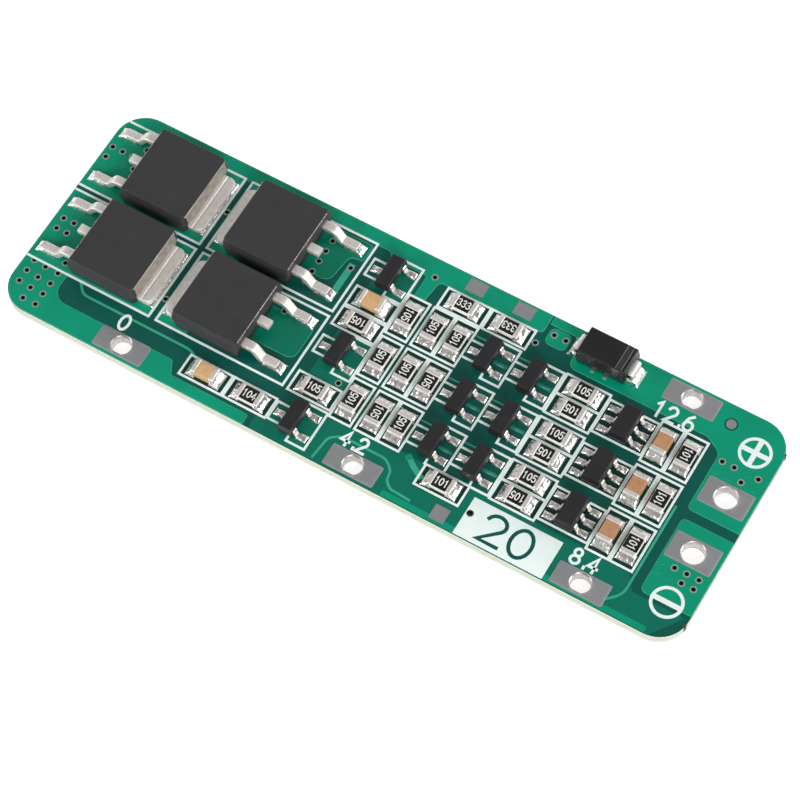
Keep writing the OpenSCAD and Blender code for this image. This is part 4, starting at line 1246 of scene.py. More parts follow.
@dataclass
class Numerals:
    """A set of plain digits, drawn with round strokes."""

    height: float
    stroke_w: float
    digit_w: float = 0.56       # width of a digit, as a share of its height
    pitch: float = 0.8          # step to the next digit, as a share of its height
    point_pitch: float = 0.35   # step past a point, as a share of the height

    def lines(self, digit: str) -> list[tuple[list[tuple[float, float]], bool]]:
        """Return the strokes of a digit, in a cell one wide and one high.

        Args:
            digit: the digit, or a point.

        Returns:
            The points of each stroke, and whether it is a loop.
        """
        def arc(cx: float, cy: float, rx: float, ry: float, a: float, b: float, n: int = 10
                ) -> list[tuple[float, float]]:
            """Return points round part of an oval, from angle a to angle b in degrees."""
            return [(cx + rx * math.cos(math.radians(a + (b - a) * k / n)),
                     cy + ry * math.sin(math.radians(a + (b - a) * k / n))) for k in range(n + 1)]
        return {
            "0": [(arc(0.5, 0.5, 0.5, 0.5, 0, 342, 19), True)],
            "1": [([(0.2, 0.8), (0.55, 1.0), (0.55, 0.0)], False)],
            "2": [(arc(0.5, 0.72, 0.46, 0.28, 165, -40) + [(0.02, 0.0), (1.0, 0.0)], False)],
            "3": [(arc(0.48, 0.76, 0.42, 0.24, 150, -90) + arc(0.48, 0.26, 0.5, 0.26, 90, -155)[1:],
                   False)],
            "4": [([(0.72, 0.0), (0.72, 1.0), (0.0, 0.3), (1.0, 0.3)], False)],
            "5": [([(0.92, 1.0), (0.14, 1.0), (0.08, 0.56)] + arc(0.48, 0.32, 0.5, 0.32, 120, -150),
                   False)],
            "6": [(arc(0.5, 0.3, 0.48, 0.3, 180, -162, 19), True),
                  ([(0.03, 0.38), (0.2, 0.78), (0.62, 1.0)], False)],
            "8": [(arc(0.5, 0.76, 0.4, 0.24, 0, 342, 19), True),
                  (arc(0.5, 0.26, 0.5, 0.26, 0, 342, 19), True)],
            ".": [([(0.3, 0.0), (0.3, 0.09)], False)],
        }[digit]

    def write(self, shape: Shape, text: str, start: tuple[float, float], turn: float, low: float,
              high: float, mark: int = 0) -> None:
        """Write digits along a line.

        Args:
            shape: the shape that they go into.
            text: the digits.
            start: where the first one's lower left corner goes.
            turn: direction of the line, in degrees.
            low: height of their underside.
            high: height of their face.
            mark: their finish.
        """
        spin = Matrix.Rotation(math.radians(turn), 2)
        run = 0.0
        lift = 0.0
        for digit in text:
            for line, looped in self.lines(digit):
                points = [Vector(start) + spin @ Vector((run + u * self.digit_w * self.height,
                                                         v * self.height)) for u, v in line]
                shape.stroke([tuple(p) for p in points], self.stroke_w, low, high + lift, mark, looped)
                # No two strokes that cross are quite the same height
                lift = 0.0006 if not lift else 0.0
            run += self.height * (self.point_pitch if digit == "." else self.pitch)


# Terminals and pads -------------------------------------------------------------------------------

@dataclass
class Terminals:
    """The six tinned solder terminals: a pad on each face, joined through a lined bore."""

    bores: dict[str, float] = field(default_factory=lambda: {
        "return_terminal": 1.6, "first_tap_terminal": 1.6, "second_tap_terminal": 1.6,
        "third_tap_terminal": 1.6, "output_plus_terminal": 1.8, "output_minus_terminal": 1.8})
    pad_t: float = 0.05
    corner_r: float = 0.12
    rim_w: float = 0.16
    rim_rise: float = 0.03
    edge_step: float = 0.3      # longest stretch between two points of the pad's edge

    def build(self) -> None:
        """Make the six terminals."""
        for name, bore in self.bores.items():
            self.terminal(name, bore)

    def terminal(self, name: str, bore: float) -> None:
        """Make one terminal: its pads swell a little and roll over into the bore.

        Args:
            name: the node it stands for.
            bore: the bore's diameter.
        """
        box = box_of(name)
        x, y, _ = box.middle
        l, w, _ = box.size
        plan = rounded(l, w, (self.corner_r,) * 4, 3)
        filled: list[tuple[float, float]] = []
        for a, b in zip(plan, plan[1:] + plan[:1]):
            parts = max(1, round(math.dist(a, b) / self.edge_step))
            filled += [(a[0] + (b[0] - a[0]) * t / parts, a[1] + (b[1] - a[1]) * t / parts)
                       for t in range(parts)]

        def outer(inset: float, z: float) -> list[tuple[float, float, float]]:
            """Return a ring round the pad, drawn in from its edge."""
            return [(x + u * (1 - 2 * inset / l), y + v * (1 - 2 * inset / w), z) for u, v in filled]

        def inner(r: float, z: float) -> list[tuple[float, float, float]]:
            """Return a ring round the bore."""
            return [(x + r * math.cos(a), y + r * math.sin(a), z)
                    for a in (math.atan2(v, u) for u, v in filled)]

        r, t = bore / 2, self.pad_t
        top, foot = box.high[2], box.low[2]
        bands = (
            (0, outer(0.0, foot + t)), (0, outer(0.0, foot + 0.02)), (0, outer(0.04, foot)),
            (0, inner(r + self.rim_w, foot)), (1, inner(r + 0.02, foot)), (1, inner(r, foot + 0.03)),
            (1, inner(r - 0.02, foot + 0.3)), (1, inner(r - 0.02, top - 0.3)),
            (1, inner(r, top - 0.01)), (1, inner(r + self.rim_w * 0.4, top + self.rim_rise)),
            (0, inner(r + self.rim_w, top)), (0, outer(0.25, top + 0.012)), (0, outer(0.05, top)),
            (0, outer(0.0, top - 0.02)), (0, outer(0.0, top - t)))
        shape = Shape()
        shape.skin([ring for _, ring in bands], [mark for mark, _ in bands[1:]], (False, False))
        shape.build(name + "_tinned", (Stock.DULL_TIN, Stock.RIM_TIN), "terminal_tin", (name,))


# Solder -------------------------------------------------------------------------------------------

@dataclass
class SolderJoints:
    """Every solder joint, as a small heap that climbs the metal it holds."""

    cells: tuple[int, int] = (16, 12)
    film: float = 0.05
    lump: float = 0.045
    rim_w: float = 0.09         # width of the round rim of a heap
    big_from: float = 2.0       # a longer joint gets twice the cells each way
    low_under: float = 0.2      # a joint that climbs less than this is a low one
    hollow: float = 0.95        # below 1 a chip's heap bulges, above 1 it is hollow

    def build(self) -> None:
        """Make all the joints, in one piece."""
        held = [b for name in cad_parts
                if name.endswith(("_ends", "_leads", "_lead", "_drain_tab")) for b in solids_of(name)]
        shape = Shape()
        for pad in solids_of("solder_joints"):
            self.heap(shape, pad, [b for b in held if b.meets(pad)])
        shape.build("solder_fillets", (Stock.SOLDER,), "solder", ("solder_joints",), smooth=70)

    def heap(self, shape: Shape, pad: Box, metal: Sequence[Box]) -> None:
        """Add one joint.

        Args:
            shape: the shape that it goes into.
            pad: the space of the joint.
            metal: the ends and leads that it holds.
        """
        big = max(pad.size[:2]) > self.big_from
        nu, nv = (self.cells[0] * 2, self.cells[1] * 2) if big else self.cells
        climb = pad.size[2] - self.film
        low = climb < self.low_under
        over = 1.3 if low and not big else 0.86
        hollow = 1.5 if low or big else self.hollow
        x0, y0, z0 = pad.low
        l, w, _ = pad.size
        grid = []
        for i in range(nu + 1):
            row = []
            for j in range(nv + 1):
                # Rows crowd towards the pad's edges, where the heap is steepest
                u = 0.5 - 0.5 * math.cos(math.pi * i / nu)
                v = 0.5 - 0.5 * math.cos(math.pi * j / nv)
                x, y = x0 + u * l, y0 + v * w
                edge = min(u * l, (1 - u) * l, v * w, (1 - v) * w)
                rim = min(1.0, edge / self.rim_w) ** 0.5
                near = max((self.nearness(x, y, pad, m) for m in metal), default=0.0)
                bump = noise.noise(Vector((x * 2.6, y * 2.6, 1.7))) * self.lump \
                    + noise.noise(Vector((x * 7.0, y * 7.0, 4.1))) * self.lump * 0.4
                h = self.film + climb * over * near ** hollow + (0.03 + bump) * rim * (1 - near ** 3)
                row.append((x, y, z0 + max(0.012, h * (0.25 + 0.75 * rim)) * (1 if edge > 1e-9 else 0.3)))
            grid.append(shape.add(row))
        for i in range(nu):
            for j in range(nv):
                shape.face((grid[i][j], grid[i + 1][j], grid[i + 1][j + 1], grid[i][j + 1]))
        border = [grid[i][0] for i in range(nu + 1)] + [grid[nu][j] for j in range(1, nv + 1)] \
            + [grid[i][nv] for i in range(nu - 1, -1, -1)] + [grid[0][j] for j in range(nv - 1, 0, -1)]
        foot = shape.add((shape.points[k][0], shape.points[k][1], z0 - 0.005) for k in border)
        n = len(border)
        for k in range(n):
            shape.face((border[k], foot[k], foot[(k + 1) % n], border[(k + 1) % n]))
        shape.face(foot)

    def nearness(self, x: float, y: float, pad: Box, metal: Box) -> float:
        """Tell how close a place is to the metal, from 1 at its foot to 0 at the pad's edge.

        Args:
            x: the place's X.
            y: the place's Y.
            pad: the space of the joint.
            metal: the end or lead.

        Returns:
            The nearness.
        """
        total = 0.0
        for value, axis in ((x, 0), (y, 1)):
            for gap, room in ((metal.low[axis] - value, metal.low[axis] - pad.low[axis]),
                              (value - metal.high[axis], pad.high[axis] - metal.high[axis])):
                if gap > 0:
                    total += (gap / max(room, 1e-6)) ** 2
        return max(0.0, 1 - math.sqrt(total))


# Moulded parts ------------------------------------------------------------------------------------

def moulded(shape: Shape, box: Box, part_z: float, draft: float, corners: Sequence[float],
            edge: float, mark: int = 0, lid: int | None = None) -> None:
    """Add a moulded body: its sides lean in both ways from the line where the mould parts.

    Args:
        shape: the shape that it goes into.
        box: the space it fills.
        part_z: height of the parting line over its foot.
        draft: how far the sides lean in.
        corners: radii of its upright corners, from the one at +X +Y and on anticlockwise.
        edge: radius of the edge round its face.
        mark: its finish.
        lid: the finish of its face, if that isn't the same.
    """
    l, w, h = box.size
    profile = [(draft, 0.0), (draft * 0.08, part_z - 0.03), (0.0, part_z), (draft * 0.08, part_z + 0.03)]
    lean = draft / max(h - part_z, 0.01)
    profile.append((draft * 0.1 + lean * (h - part_z - edge) * 0.9, h - edge))
    for k in (1, 2, 3):
        a = math.pi / 2 * k / 3
        profile.append((profile[4][0] + edge * (1 - math.cos(a)), h - edge + edge * math.sin(a)))
    rings = [placed(rounded(l - 2 * inset, w - 2 * inset,
                            [max(r - inset * 0.5, 0.02) for r in corners], 5),
                    box.middle, box.low[2] + z) for inset, z in profile]
    shape.skin(rings, mark, (True, False))
    top = shape.add(rings[-1])
    shape.face(top, mark if lid is None else lid)


def bent_strip(shape: Shape, path: Sequence[tuple[float, float]], place: tuple[float, float, float],
               along: tuple[float, float], width: float, thick: float, round_r: float = 0.05) -> None:
    """Add a strip of metal bent down to the board.

    Args:
        shape: the shape that it goes into.
        path: run and height of the points along its middle.
        place: where its run starts.
        along: the way that it runs, seen from above.
        width: its width.
        thick: its thickness.
        round_r: radius of its long edges.
    """
    ax, ay = along
    section = rounded(width, thick, (round_r,) * 4, 2)
    rings = []
    for k, (s, z) in enumerate(path):
        a = Vector(path[max(k - 1, 0)])
        b = Vector(path[min(k + 1, len(path) - 1)])
        t = (b - a).normalized()
        rings.append([(place[0] + ax * (s - t.y * q) - ay * p, place[1] + ay * (s - t.y * q) + ax * p,
                       place[2] + z + t.x * q) for p, q in section])
    shape.skin(rings)


def gull_wing(root: float, tip: float, top: float, foot: float, thick: float, r: float,
              angle: float, steps: int = 6) -> list[tuple[float, float]]:
    """Return the middle line of a lead that is bent down and out again.

    Args:
        root: run where it leaves the body.
        tip: run where it ends.
        top: height of its middle at the root.
        foot: length of its flat foot.
        thick: its thickness.
        r: radius of its two bends.
        angle: how steeply it goes down, in degrees.
        steps: short edges that make each bend.

    Returns:
        Run and height of each point.
    """
    a = math.radians(angle)
    fall = top - thick / 2 - 2 * r * (1 - math.cos(a))
    run = 2 * r * math.sin(a) + fall / math.tan(a)
    x2 = tip - foot
    x1 = x2 - run
    line = [(root, top)]
    line += [(x1 + r * math.sin(a * k / steps), top - r + r * math.cos(a * k / steps))
             for k in range(steps + 1)]
    line += [(x2 - r * math.sin(a * k / steps), thick / 2 + r - r * math.cos(a * k / steps))
             for k in range(steps, -1, -1)]
    line += [(tip, thick / 2)]
    return line


@dataclass
class PowerTransistor:
    """A power transistor: a moulded body, a drain tab out of one side and leads out of the other."""

    name: str
    lead_side: int              # +1 with its leads towards +X, -1 towards -X
    part_share: float = 0.57    # height of the parting line, as a share of the body's
    draft: float = 0.18
    edge: float = 0.04
    tab_corner_r: float = 0.42
    lead_corner_r: float = 0.05
    tab_w: float = 5.4
    tab_cut: float = 0.6
    groove_in: float = 0.13     # distance of the tab's coined groove from the body
    groove_w: float = 0.22
    lead_t: float = 0.5
    lead_w: float = 0.76
    foot_l: float = 1.2
    bend_r: float = 0.42
    bend: float = 56.0

    def build(self) -> None:
        """Make the transistor's body, tab and leads."""
        self.body()
        self.tab()
        self.leads()

    def body(self) -> None:
        """Make the moulded body."""
        node = self.name + "_body"
        box = box_of(node)
        r, s = self.tab_corner_r, self.lead_corner_r
        corners = (s, r, r, s) if self.lead_side > 0 else (r, s, s, r)
        shape = Shape()
        moulded(shape, box, box.size[2] * self.part_share, self.draft, corners, self.edge)
        shape.build(node + "_moulding", (Stock.MOULDING,), "moulding", (node,))
        self.end_faces(box)

    def end_faces(self, box: Box) -> None:
        """Skin the tab end with a lighter painted reflection, and paint broken highlights along both top
        edges.

        Args:
            box: the space of the moulded body.
        """
        s, z0, z1 = -self.lead_side, box.low[2], box.high[2]
        wall, other = (box.high[0], box.low[0]) if s > 0 else (box.low[0], box.high[0])
        part = z0 + box.size[2] * self.part_share
        # The tab end's skin is a painted reflection: light grey-brown laid over the dark moulding
        shape = Shape()
        inset = self.tab_corner_r + 0.06
        y0, y1 = box.low[1] + inset, box.high[1] - inset
        levels = [(wall - s * self.draft * (part - z0 - self.lead_t) / (part - z0), z0 + self.lead_t),
                  (wall, part), (wall - s * self.draft * 0.88, z1 - (z1 - part) * 0.12)]
        rings = []
        for out in (-0.02, 0.008):
            line = [(x + s * out, y0, z) for x, z in levels] + [(x + s * out, y1, z) for x, z in levels[::-1]]
            rings.append(line if s < 0 else line[::-1])
        shape.skin(rings)
        shape.build(self.name + "_resin_skin", (Stock.PAINTED_TAB_END_REFLECTION,), "moulding")
        # Pale broken strokes along both top edges: a painted highlight of the edges catching the light
        shape = Shape()
        for edge, gap in ((other + s * (self.draft - 0.02), 0.07), (wall - s * (self.draft - 0.02), 0.02)):
            y = y0 - 0.1
            while y < y1 - 0.05:
                run = 0.12 + 0.3 * abs(noise.noise(Vector((box.middle[0], y * 3.1, gap * 7))))
                shape.stroke([(edge, y), (edge, min(y + run, y1))], 0.04, z1 - 0.12, z1 - 0.025)
                y += run + gap + 2.3 * gap * abs(noise.noise(Vector((y * 2.3, 0.2, box.middle[1]))))
        shape.build(self.name + "_flash", (Stock.PAINTED_EDGE_HIGHLIGHT,), "moulding")

    def tab(self) -> None:
        """Make the drain tab, with its cut corners and coined groove, and the cropped middle lead."""
        node = self.name + "_drain_tab"
        box, body = box_of(node), box_of(self.name + "_body")
        s = -self.lead_side
        y0, y1 = box.middle[1] - self.tab_w / 2, box.middle[1] + self.tab_w / 2
        z0, z1 = box.low[2], box.low[2] + self.lead_t
        far = box.high[0] if s > 0 else box.low[0]
        wall = body.high[0] if s > 0 else body.low[0]
        near = wall - s * 2.0
        cut, e, dip = self.tab_cut, 0.07, 0.05
        g0, g1 = wall + s * self.groove_in, wall + s * (self.groove_in + self.groove_w)

        def ring(inset: float, z: float, coined: bool = False) -> list[tuple[float, float, float]]:
            """Return the tab's outline.

            Args:
                inset: how far it is drawn in from the edge.
                z: its height.
                coined: whether the groove dips in it.

            Returns:
                The outline's points.
            """
            f = far - s * inset
            low = z - dip if coined else z
            points = [(near, y0 + inset, z), (g0, y0 + inset, z), (g0 + s * 0.04, y0 + inset, low),
                      (g1 - s * 0.04, y0 + inset, low), (g1, y0 + inset, z)]
            points += [(f - s * cut * (1 - math.sin(a)), y0 + inset + cut * (1 - math.cos(a)), z)
                       for a in (math.pi / 2 * k / 4 for k in range(5))]
            points += [(x, y0 + y1 - y, q) for x, y, q in reversed(points)]
            return points if s > 0 else points[::-1]

        shape = Shape()
        rings = [ring(e, z0), ring(0.0, z0 + e), ring(0.0, z1 - e), ring(e * 0.3, z1 - e * 0.3, True),
                 ring(e, z1, True)]
        shape.skin(rings, 0, (True, False))
        top = shape.add(rings[-1])
        n = len(top) // 2
        for k in range(n - 1):
            a, b = (top[k], top[k + 1]), (top[2 * n - 2 - k], top[2 * n - 1 - k])
            shape.face((a[0], a[1], b[0], b[1]))
        reach = (wall - s * body.size[0] - (box.low[0] if s > 0 else box.high[0])) * s
        rise = box.size[2] - self.lead_t / 2
        bent_strip(shape, [(-0.4, rise), (0.0, rise), (reach * 0.5, rise), (reach, rise - 0.02)],
                   (wall - s * body.size[0], box.middle[1], z0), (-s, 0), self.lead_w, self.lead_t, 0.09)
        shape.build(node + "_metal", (Stock.TAB,), "lead_metal", (node,), edge=0.02)

    def leads(self) -> None:
        """Make the two whole leads."""
        node = self.name + "_leads"
        shape = Shape()
        body = box_of(self.name + "_body")
        wall = body.high[0] if self.lead_side > 0 else body.low[0]
        for box in solids_of(node):
            reach = (box.high[0] - wall) * self.lead_side if self.lead_side > 0 else wall - box.low[0]
            place = (wall, box.middle[1], box.low[2])
            top = box.size[2] - self.lead_t / 2
            path = gull_wing(-0.4, reach, top, self.foot_l, self.lead_t, self.bend_r, self.bend)
            bent_strip(shape, path, place, (self.lead_side, 0), box.size[1], self.lead_t, 0.09)
        shape.build(node + "_metal", (Stock.LEAD,), "lead_metal", (node,), edge=0.03)


@dataclass
class Rectifier:
    """The rectifier diode: a glossy body with a cathode band, and broad leads folded in under it."""

    part_share: float = 0.45    # height of the parting line, as a share of the body's
    draft: float = 0.14
    edge: float = 0.1
    corner_r: float = 0.14
    lead_t: float = 0.2
    band_in: float = 0.42       # distance of the cathode band from the body's end
    band_w: float = 0.55

    def build(self) -> None:
        """Make the body, its band and its leads."""
        box = box_of("diode_body")
        shape = Shape()
        moulded(shape, box, box.size[2] * self.part_share, self.draft, (self.corner_r,) * 4, self.edge)
        shape.build("diode_body_moulding", (Stock.DIODE_MOULDING,), "moulding", ("diode_body",))
        band = Shape()
        x1 = box.high[0] - self.band_in
        inset = self.draft + self.edge * 0.7
        band.block(Box((x1 - self.band_w, box.low[1] + inset, box.high[2] - 0.03),
                       (x1, box.high[1] - inset, box.high[2] + 0.008)), 0.006, 0, 0.05)
        for x in (x1 - self.band_w, x1 - 0.05):
            band.block(Box((x, box.low[1] + inset, box.high[2] - 0.03),
                           (x + 0.05, box.high[1] - inset, box.high[2] + 0.011)), 0.004, 1)
        band.build("diode_cathode_band", (Stock.CATHODE, Stock.CATHODE_RULE), "moulding")
        for node, side in (("diode_anode_lead", -1), ("diode_cathode_lead", 1)):
            self.lead(node, side, box)

    def lead(self, node: str, side: int, body: Box) -> None:
        """Make one lead: out of the body's end, down its side, and in along the board.

        Args:
            node: the node it stands for.
            side: +1 if it comes out towards +X, -1 towards -X.
            body: the space of the diode's body.
        """
        box = box_of(node)
        t = self.lead_t
        wall = body.high[0] if side > 0 else body.low[0]
        reach = (box.high[0] - wall) if side > 0 else (wall - box.low[0])
        inward = (wall - box.low[0]) if side > 0 else (box.high[0] - wall)
        top = box.size[2] - t / 2
        r = t
        bend = reach - t / 2 - r
        turns = [math.pi / 2 * k / 5 for k in range(6)]
        path = [(-0.3, top), (bend, top)]
        path += [(bend + r * math.sin(a), top - r + r * math.cos(a)) for a in turns[1:]]
        path += [(bend + r * math.cos(a), t / 2 + r - r * math.sin(a)) for a in turns]
        path += [(-inward, t / 2)]
        shape = Shape()
        bent_strip(shape, path, (wall, box.middle[1], box.low[2]), (side, 0), box.size[1], t, 0.05)
        shape.build(node + "_metal", (Stock.LEAD,), "lead_metal", (node,))


@dataclass
class SmallMouldings:
    """The bodies of the small transistors and of the cell monitors."""

    transistor_nodes: tuple[str, ...] = ("driver_bodies", "back_channel_transistor_bodies",
                                         "middle_channel_transistor_bodies",
                                         "front_channel_transistor_bodies")
    monitor_nodes: tuple[str, ...] = ("back_channel_monitor_body", "middle_channel_monitor_body",
                                      "front_channel_monitor_body")
    part_share: float = 0.42    # height of the parting line, as a share of the body's
    draft: float = 0.1
    edge: float = 0.05
    corner_r: float = 0.05

    def build(self) -> None:
        """Make the bodies and give their leads their metal."""
        bodies = {node: solids_of(node) for node in self.transistor_nodes}
        bodies |= {node: [box_of(node)] for node in self.monitor_nodes}
        for node, boxes in bodies.items():
            shape = Shape()
            for box in boxes:
                moulded(shape, box, box.size[2] * self.part_share, self.draft, (self.corner_r,) * 4,
                        self.edge)
            shape.build(node + "_moulding", (Stock.SMALL_MOULDING,), "moulding", (node,))
        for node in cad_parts:
            if node.endswith("_leads") and "mosfet" not in node:
                dress(node, Stock.LEAD)


# Chips --------------------------------------------------------------------------------------------

@dataclass
class Chips:
    """The chip resistors and capacitors."""

    digit_h: float = 0.58
    digit_stroke: float = 0.09
    digit_w: float = 0.46       # width of a digit, as a share of its height
    digit_pitch: float = 0.66   # step to the next digit, as a share of its height

    def build(self) -> None:
        """Make the bodies, glazes, numbers and ends."""
        for node in sorted(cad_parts):
            if node.endswith("_resistor_bodies"):
                self.blocks(node, "_ceramic", Stock.ALUMINA, "alumina", 0.025)
            elif node.endswith(("_capacitor_bodies", "_capacitor_body")):
                tan = Stock.PALE_TAN if node.startswith("driver") else Stock.DEEP_TAN
                self.blocks(node, "_ceramic", tan, "dielectric", 0.06)
            elif node.endswith(("_resistor_ends", "_capacitor_ends")):
                self.blocks(node, "_plating", Stock.END_CAP, "chip_end_metal", 0.09, 0.08)
        self.glazes()

    def blocks(self, node: str, suffix: str, finish: Stock, slot: str, edge: float,
               corner: float | None = None) -> None:
        """Make the ceramic bodies or the metal ends of the chips in a node, with rounded edges.

        Args:
            node: the node they stand for.
            suffix: what the piece's name adds to it.
            finish: their finish.
            slot: a material slot's name, handed on to Shape.build.
            edge: radius of their edges, where they are high enough for it.
            corner: radius of their upright corners, if that isn't the same.
        """
        shape = Shape()
        for box in solids_of(node):
            shape.block(box, min(edge, box.size[2] * 0.2), 0, corner)
        shape.build(node + suffix, (finish,), slot, (node,))

    def glazes(self) -> None:
        """Make the black windows, with a number on each."""
        shape = Shape()
        marks = self.marks()
        for box in solids_of("resistor_glazes"):
            shape.block(Box((*box.low[:2], box.low[2] - SINK), box.high), 0.015, 0, 0.05)
            x, y, _ = box.middle
            text, turn = min(marks, key=lambda m: math.dist(m[0], (x, y)))[1:]
            a = math.radians(turn)
            run, rise = self.digit_h * (2 * self.digit_pitch + self.digit_w), self.digit_h
            start = (x - run / 2 * math.cos(a) + rise / 2 * math.sin(a),
                     y - run / 2 * math.sin(a) - rise / 2 * math.cos(a))
            digits = Numerals(self.digit_h, self.digit_stroke, self.digit_w, self.digit_pitch)
            digits.write(shape, text, start, turn, box.high[2] - 0.005, box.high[2] + 0.004, 1)
        shape.build("resistor_windows", (Stock.GLAZE, Stock.MARKING), "resistor_glaze",
                    ("resistor_glazes",))

    def marks(self) -> list[tuple[tuple[float, float], str, float]]:
        """Return the place, number and turn of each resistor's mark.

        Returns:
            One entry for each resistor.
        """
        places = sorted((box.middle[:2] for box in solids_of("driver_resistor_bodies")),
                        key=lambda p: (round(p[0], 1), -p[1]))
        codes = [("104", 0.0), ("105", 180.0), ("105", 0.0), ("333", 0.0), ("333", 180.0), ("101", 0.0)]
        found = [(p, *code) for p, code in zip(places, codes)]
        turned = {"back": (-90.0, 90.0, 90.0), "middle": (90.0, 90.0, -90.0), "front": (90.0, -90.0, 90.0)}
        for row, turns in turned.items():
            boxes = solids_of(row + "_channel_resistor_bodies")
            upright = [b for b in boxes if b.size[1] > b.size[0]]
            lying = sorted((b for b in boxes if b.size[1] < b.size[0]), key=lambda b: -b.middle[1])
            for b, turn in zip(upright, turns):
                found.append((b.middle[:2], "105", turn))
            found.append((upright[-1].middle[:2], "101", -90.0 if row != "middle" else 90.0))
            for b, turn in zip(lying, (0.0, 180.0)):
                found.append((b.middle[:2], "105", turn))
        return found


# Studio -------------------------------------------------------------------------------------------

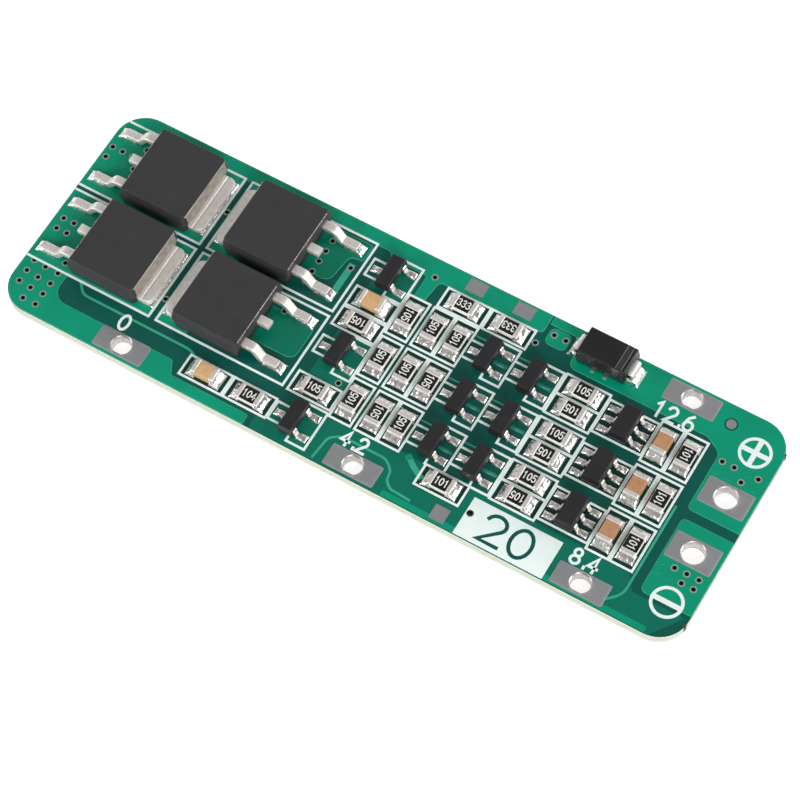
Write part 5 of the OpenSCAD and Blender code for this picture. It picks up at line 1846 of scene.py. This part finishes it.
@dataclass
class Studio:
    """The pale floor, the soft lights and the camera."""

    camera_at: tuple[float, float, float] = (59.03, -89.23, 199.54)
    view: tuple[float, float, float] = (-0.2537, 0.3883, -0.8859)
    up: tuple[float, float, float] = (-0.4393, 0.7697, 0.4632)
    lens: float = 133.86
    floor_half: float = 6000.0
    lift: float = 0.65           # how much whiter the card looks than the light makes it
    fill: float = 0.35           # evenness of the light from all sides
    gap: float = 0.4            # brightness between the screens in the gloss
    ceiling: float = 0.55        # brightness of the ceiling in the gloss

    def build(self) -> None:
        """Set up everything that isn't the board."""
        bpy.context.scene.view_settings.view_transform = "Standard"
        self.camera()
        self.floor()
        self.world()
        self.lamp("key_softbox", (900, -900, 800), 700, 17.5)
        self.lamp("left_softbox", (-1000, -900, 600), 700, 11.0)
        self.lamp("back_softbox", (1100, 600, 600), 600, 8.0)

    def camera(self) -> None:
        """Make the camera."""
        data = bpy.data.cameras.new("camera")
        data.lens = self.lens
        data.sensor_width = 36
        data.clip_start, data.clip_end = 0.01, 20
        eye = bpy.data.objects.new("camera", data)
        back = -Vector(self.view).normalized()
        right = Vector(self.up).cross(back).normalized()
        up = back.cross(right)
        turn = Matrix((right, up, back)).transposed().to_4x4()
        eye.matrix_world = Matrix.Translation(Vector(self.camera_at) * MM) @ turn
        bpy.context.scene.collection.objects.link(eye)
        bpy.context.scene.camera = eye

    def floor(self) -> None:
        """Lay the white floor under the board."""
        h = self.floor_half
        mesh = bpy.data.meshes.new("floor")
        mesh.from_pydata([(x * MM, y * MM, -0.02 * MM) for x, y in
                          ((-h, -h), (h, -h), (h, h), (-h, h))], [], [(0, 1, 2, 3)])
        paper = bpy.data.materials.new("white card")
        paper.use_nodes = True
        tree = paper.node_tree
        shader = tree.nodes["Principled BSDF"]
        shader.inputs["Base Color"].default_value = (0.9, 0.9, 0.9, 1)
        shader.inputs["Roughness"].default_value = 1.0
        shader.inputs["Specular IOR Level"].default_value = 0.0
        # Whatever looks straight at the card sees it a little brighter, so that it reads as white
        path = add(tree, "ShaderNodeLightPath")
        rays = add(tree, "ShaderNodeMath", {"operation": "ADD"},
                   {0: path.outputs["Is Camera Ray"], 1: path.outputs["Is Glossy Ray"]})
        rays = add(tree, "ShaderNodeMath", {"operation": "ADD", "use_clamp": True},
                   {0: rays.outputs[0], 1: path.outputs["Is Transmission Ray"]})
        lift = add(tree, "ShaderNodeMath", {"operation": "MULTIPLY"}, {0: rays.outputs[0], 1: self.lift})
        shader.inputs["Emission Color"].default_value = (1, 1, 1, 1)
        tree.links.new(lift.outputs[0], shader.inputs["Emission Strength"])
        mesh.materials.append(paper)
        sheet = bpy.data.objects.new("floor", mesh)
        bpy.context.scene.collection.objects.link(sheet)

    def world(self) -> None:
        """Fill in from all sides with even white light."""
        world = bpy.data.worlds.new("studio")
        bpy.context.scene.world = world
        world.use_nodes = True
        tree = world.node_tree
        tree.nodes.clear()
        path = add(tree, "ShaderNodeLightPath")
        sky = add(tree, "ShaderNodeTexCoord")
        height = add(tree, "ShaderNodeSeparateXYZ", None, {0: sky.outputs["Generated"]})
        # Metal finds the white room at the sides and the dark ceiling between the lamps overhead
        ceiling = add(tree, "ShaderNodeMapRange", {"interpolation_type": "SMOOTHSTEP"},
                      {"Value": height.outputs[2], "From Min": 0.3, "From Max": 0.85,
                       "To Min": 1.0, "To Max": self.ceiling})
        # and, round the sides, the gaps between the white screens
        gaps = add(tree, "ShaderNodeTexNoise", None,
                   {"Vector": sky.outputs["Generated"], "Scale": 1.8, "Detail": 1.0})
        screens = add(tree, "ShaderNodeMapRange", {"interpolation_type": "SMOOTHSTEP"},
                      {"Value": gaps.outputs["Fac"], "From Min": 0.42, "From Max": 0.56,
                       "To Min": self.gap, "To Max": 1.0})
        room = add(tree, "ShaderNodeMath", {"operation": "MULTIPLY"},
                   {0: ceiling.outputs["Result"], 1: screens.outputs["Result"]})
        seen = add(tree, "ShaderNodeMix", {"data_type": "FLOAT"},
                   {0: path.outputs["Is Glossy Ray"], 2: self.fill, 3: room.outputs[0]})
        white = add(tree, "ShaderNodeMath", {"operation": "ADD"},
                    {0: path.outputs["Is Camera Ray"], 1: path.outputs["Is Transmission Ray"]})
        level = add(tree, "ShaderNodeMath", {"operation": "MAXIMUM"},
                    {0: seen.outputs[0], 1: white.outputs[0]})
        fill = add(tree, "ShaderNodeBackground", None,
                   {"Color": (1, 1, 1, 1), "Strength": level.outputs[0]})
        add(tree, "ShaderNodeOutputWorld", None, {"Surface": fill.outputs[0]})

    def lamp(self, name: str, at: tuple[float, float, float], size: float, power: float) -> None:
        """Hang a square soft light that faces the board.

        Args:
            name: the light's name.
            at: where it hangs, in millimetres.
            size: its side, in millimetres.
            power: its power, in watts.
        """
        data = bpy.data.lights.new(name, "AREA")
        data.shape = "SQUARE"
        data.size = size * MM
        data.energy = power
        lamp = bpy.data.objects.new(name, data)
        lamp.location = Vector(at) * MM
        lamp.rotation_mode = "QUATERNION"
        lamp.rotation_quaternion = (-Vector(at)).to_track_quat("-Z", "Y")
        bpy.context.scene.collection.objects.link(lamp)


def main() -> None:
    """Build the studio and the board, one sub-assembly after another."""
    logging.basicConfig(level=logging.INFO, format="%(message)s")
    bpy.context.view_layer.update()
    Studio().build()
    PrintedBoard().build()
    Legend().build()
    Terminals().build()
    SolderJoints().build()
    for name, side in (("back_left_mosfet", -1), ("front_left_mosfet", -1),
                       ("back_right_mosfet", 1), ("front_right_mosfet", 1)):
        PowerTransistor(name, side).build()
    Rectifier().build()
    SmallMouldings().build()
    Chips().build()
    dress("via_barrels", Stock.VIA_METAL)
    dress("test_pads", Stock.DULL_TIN)


if __name__ == "__main__":
    main()
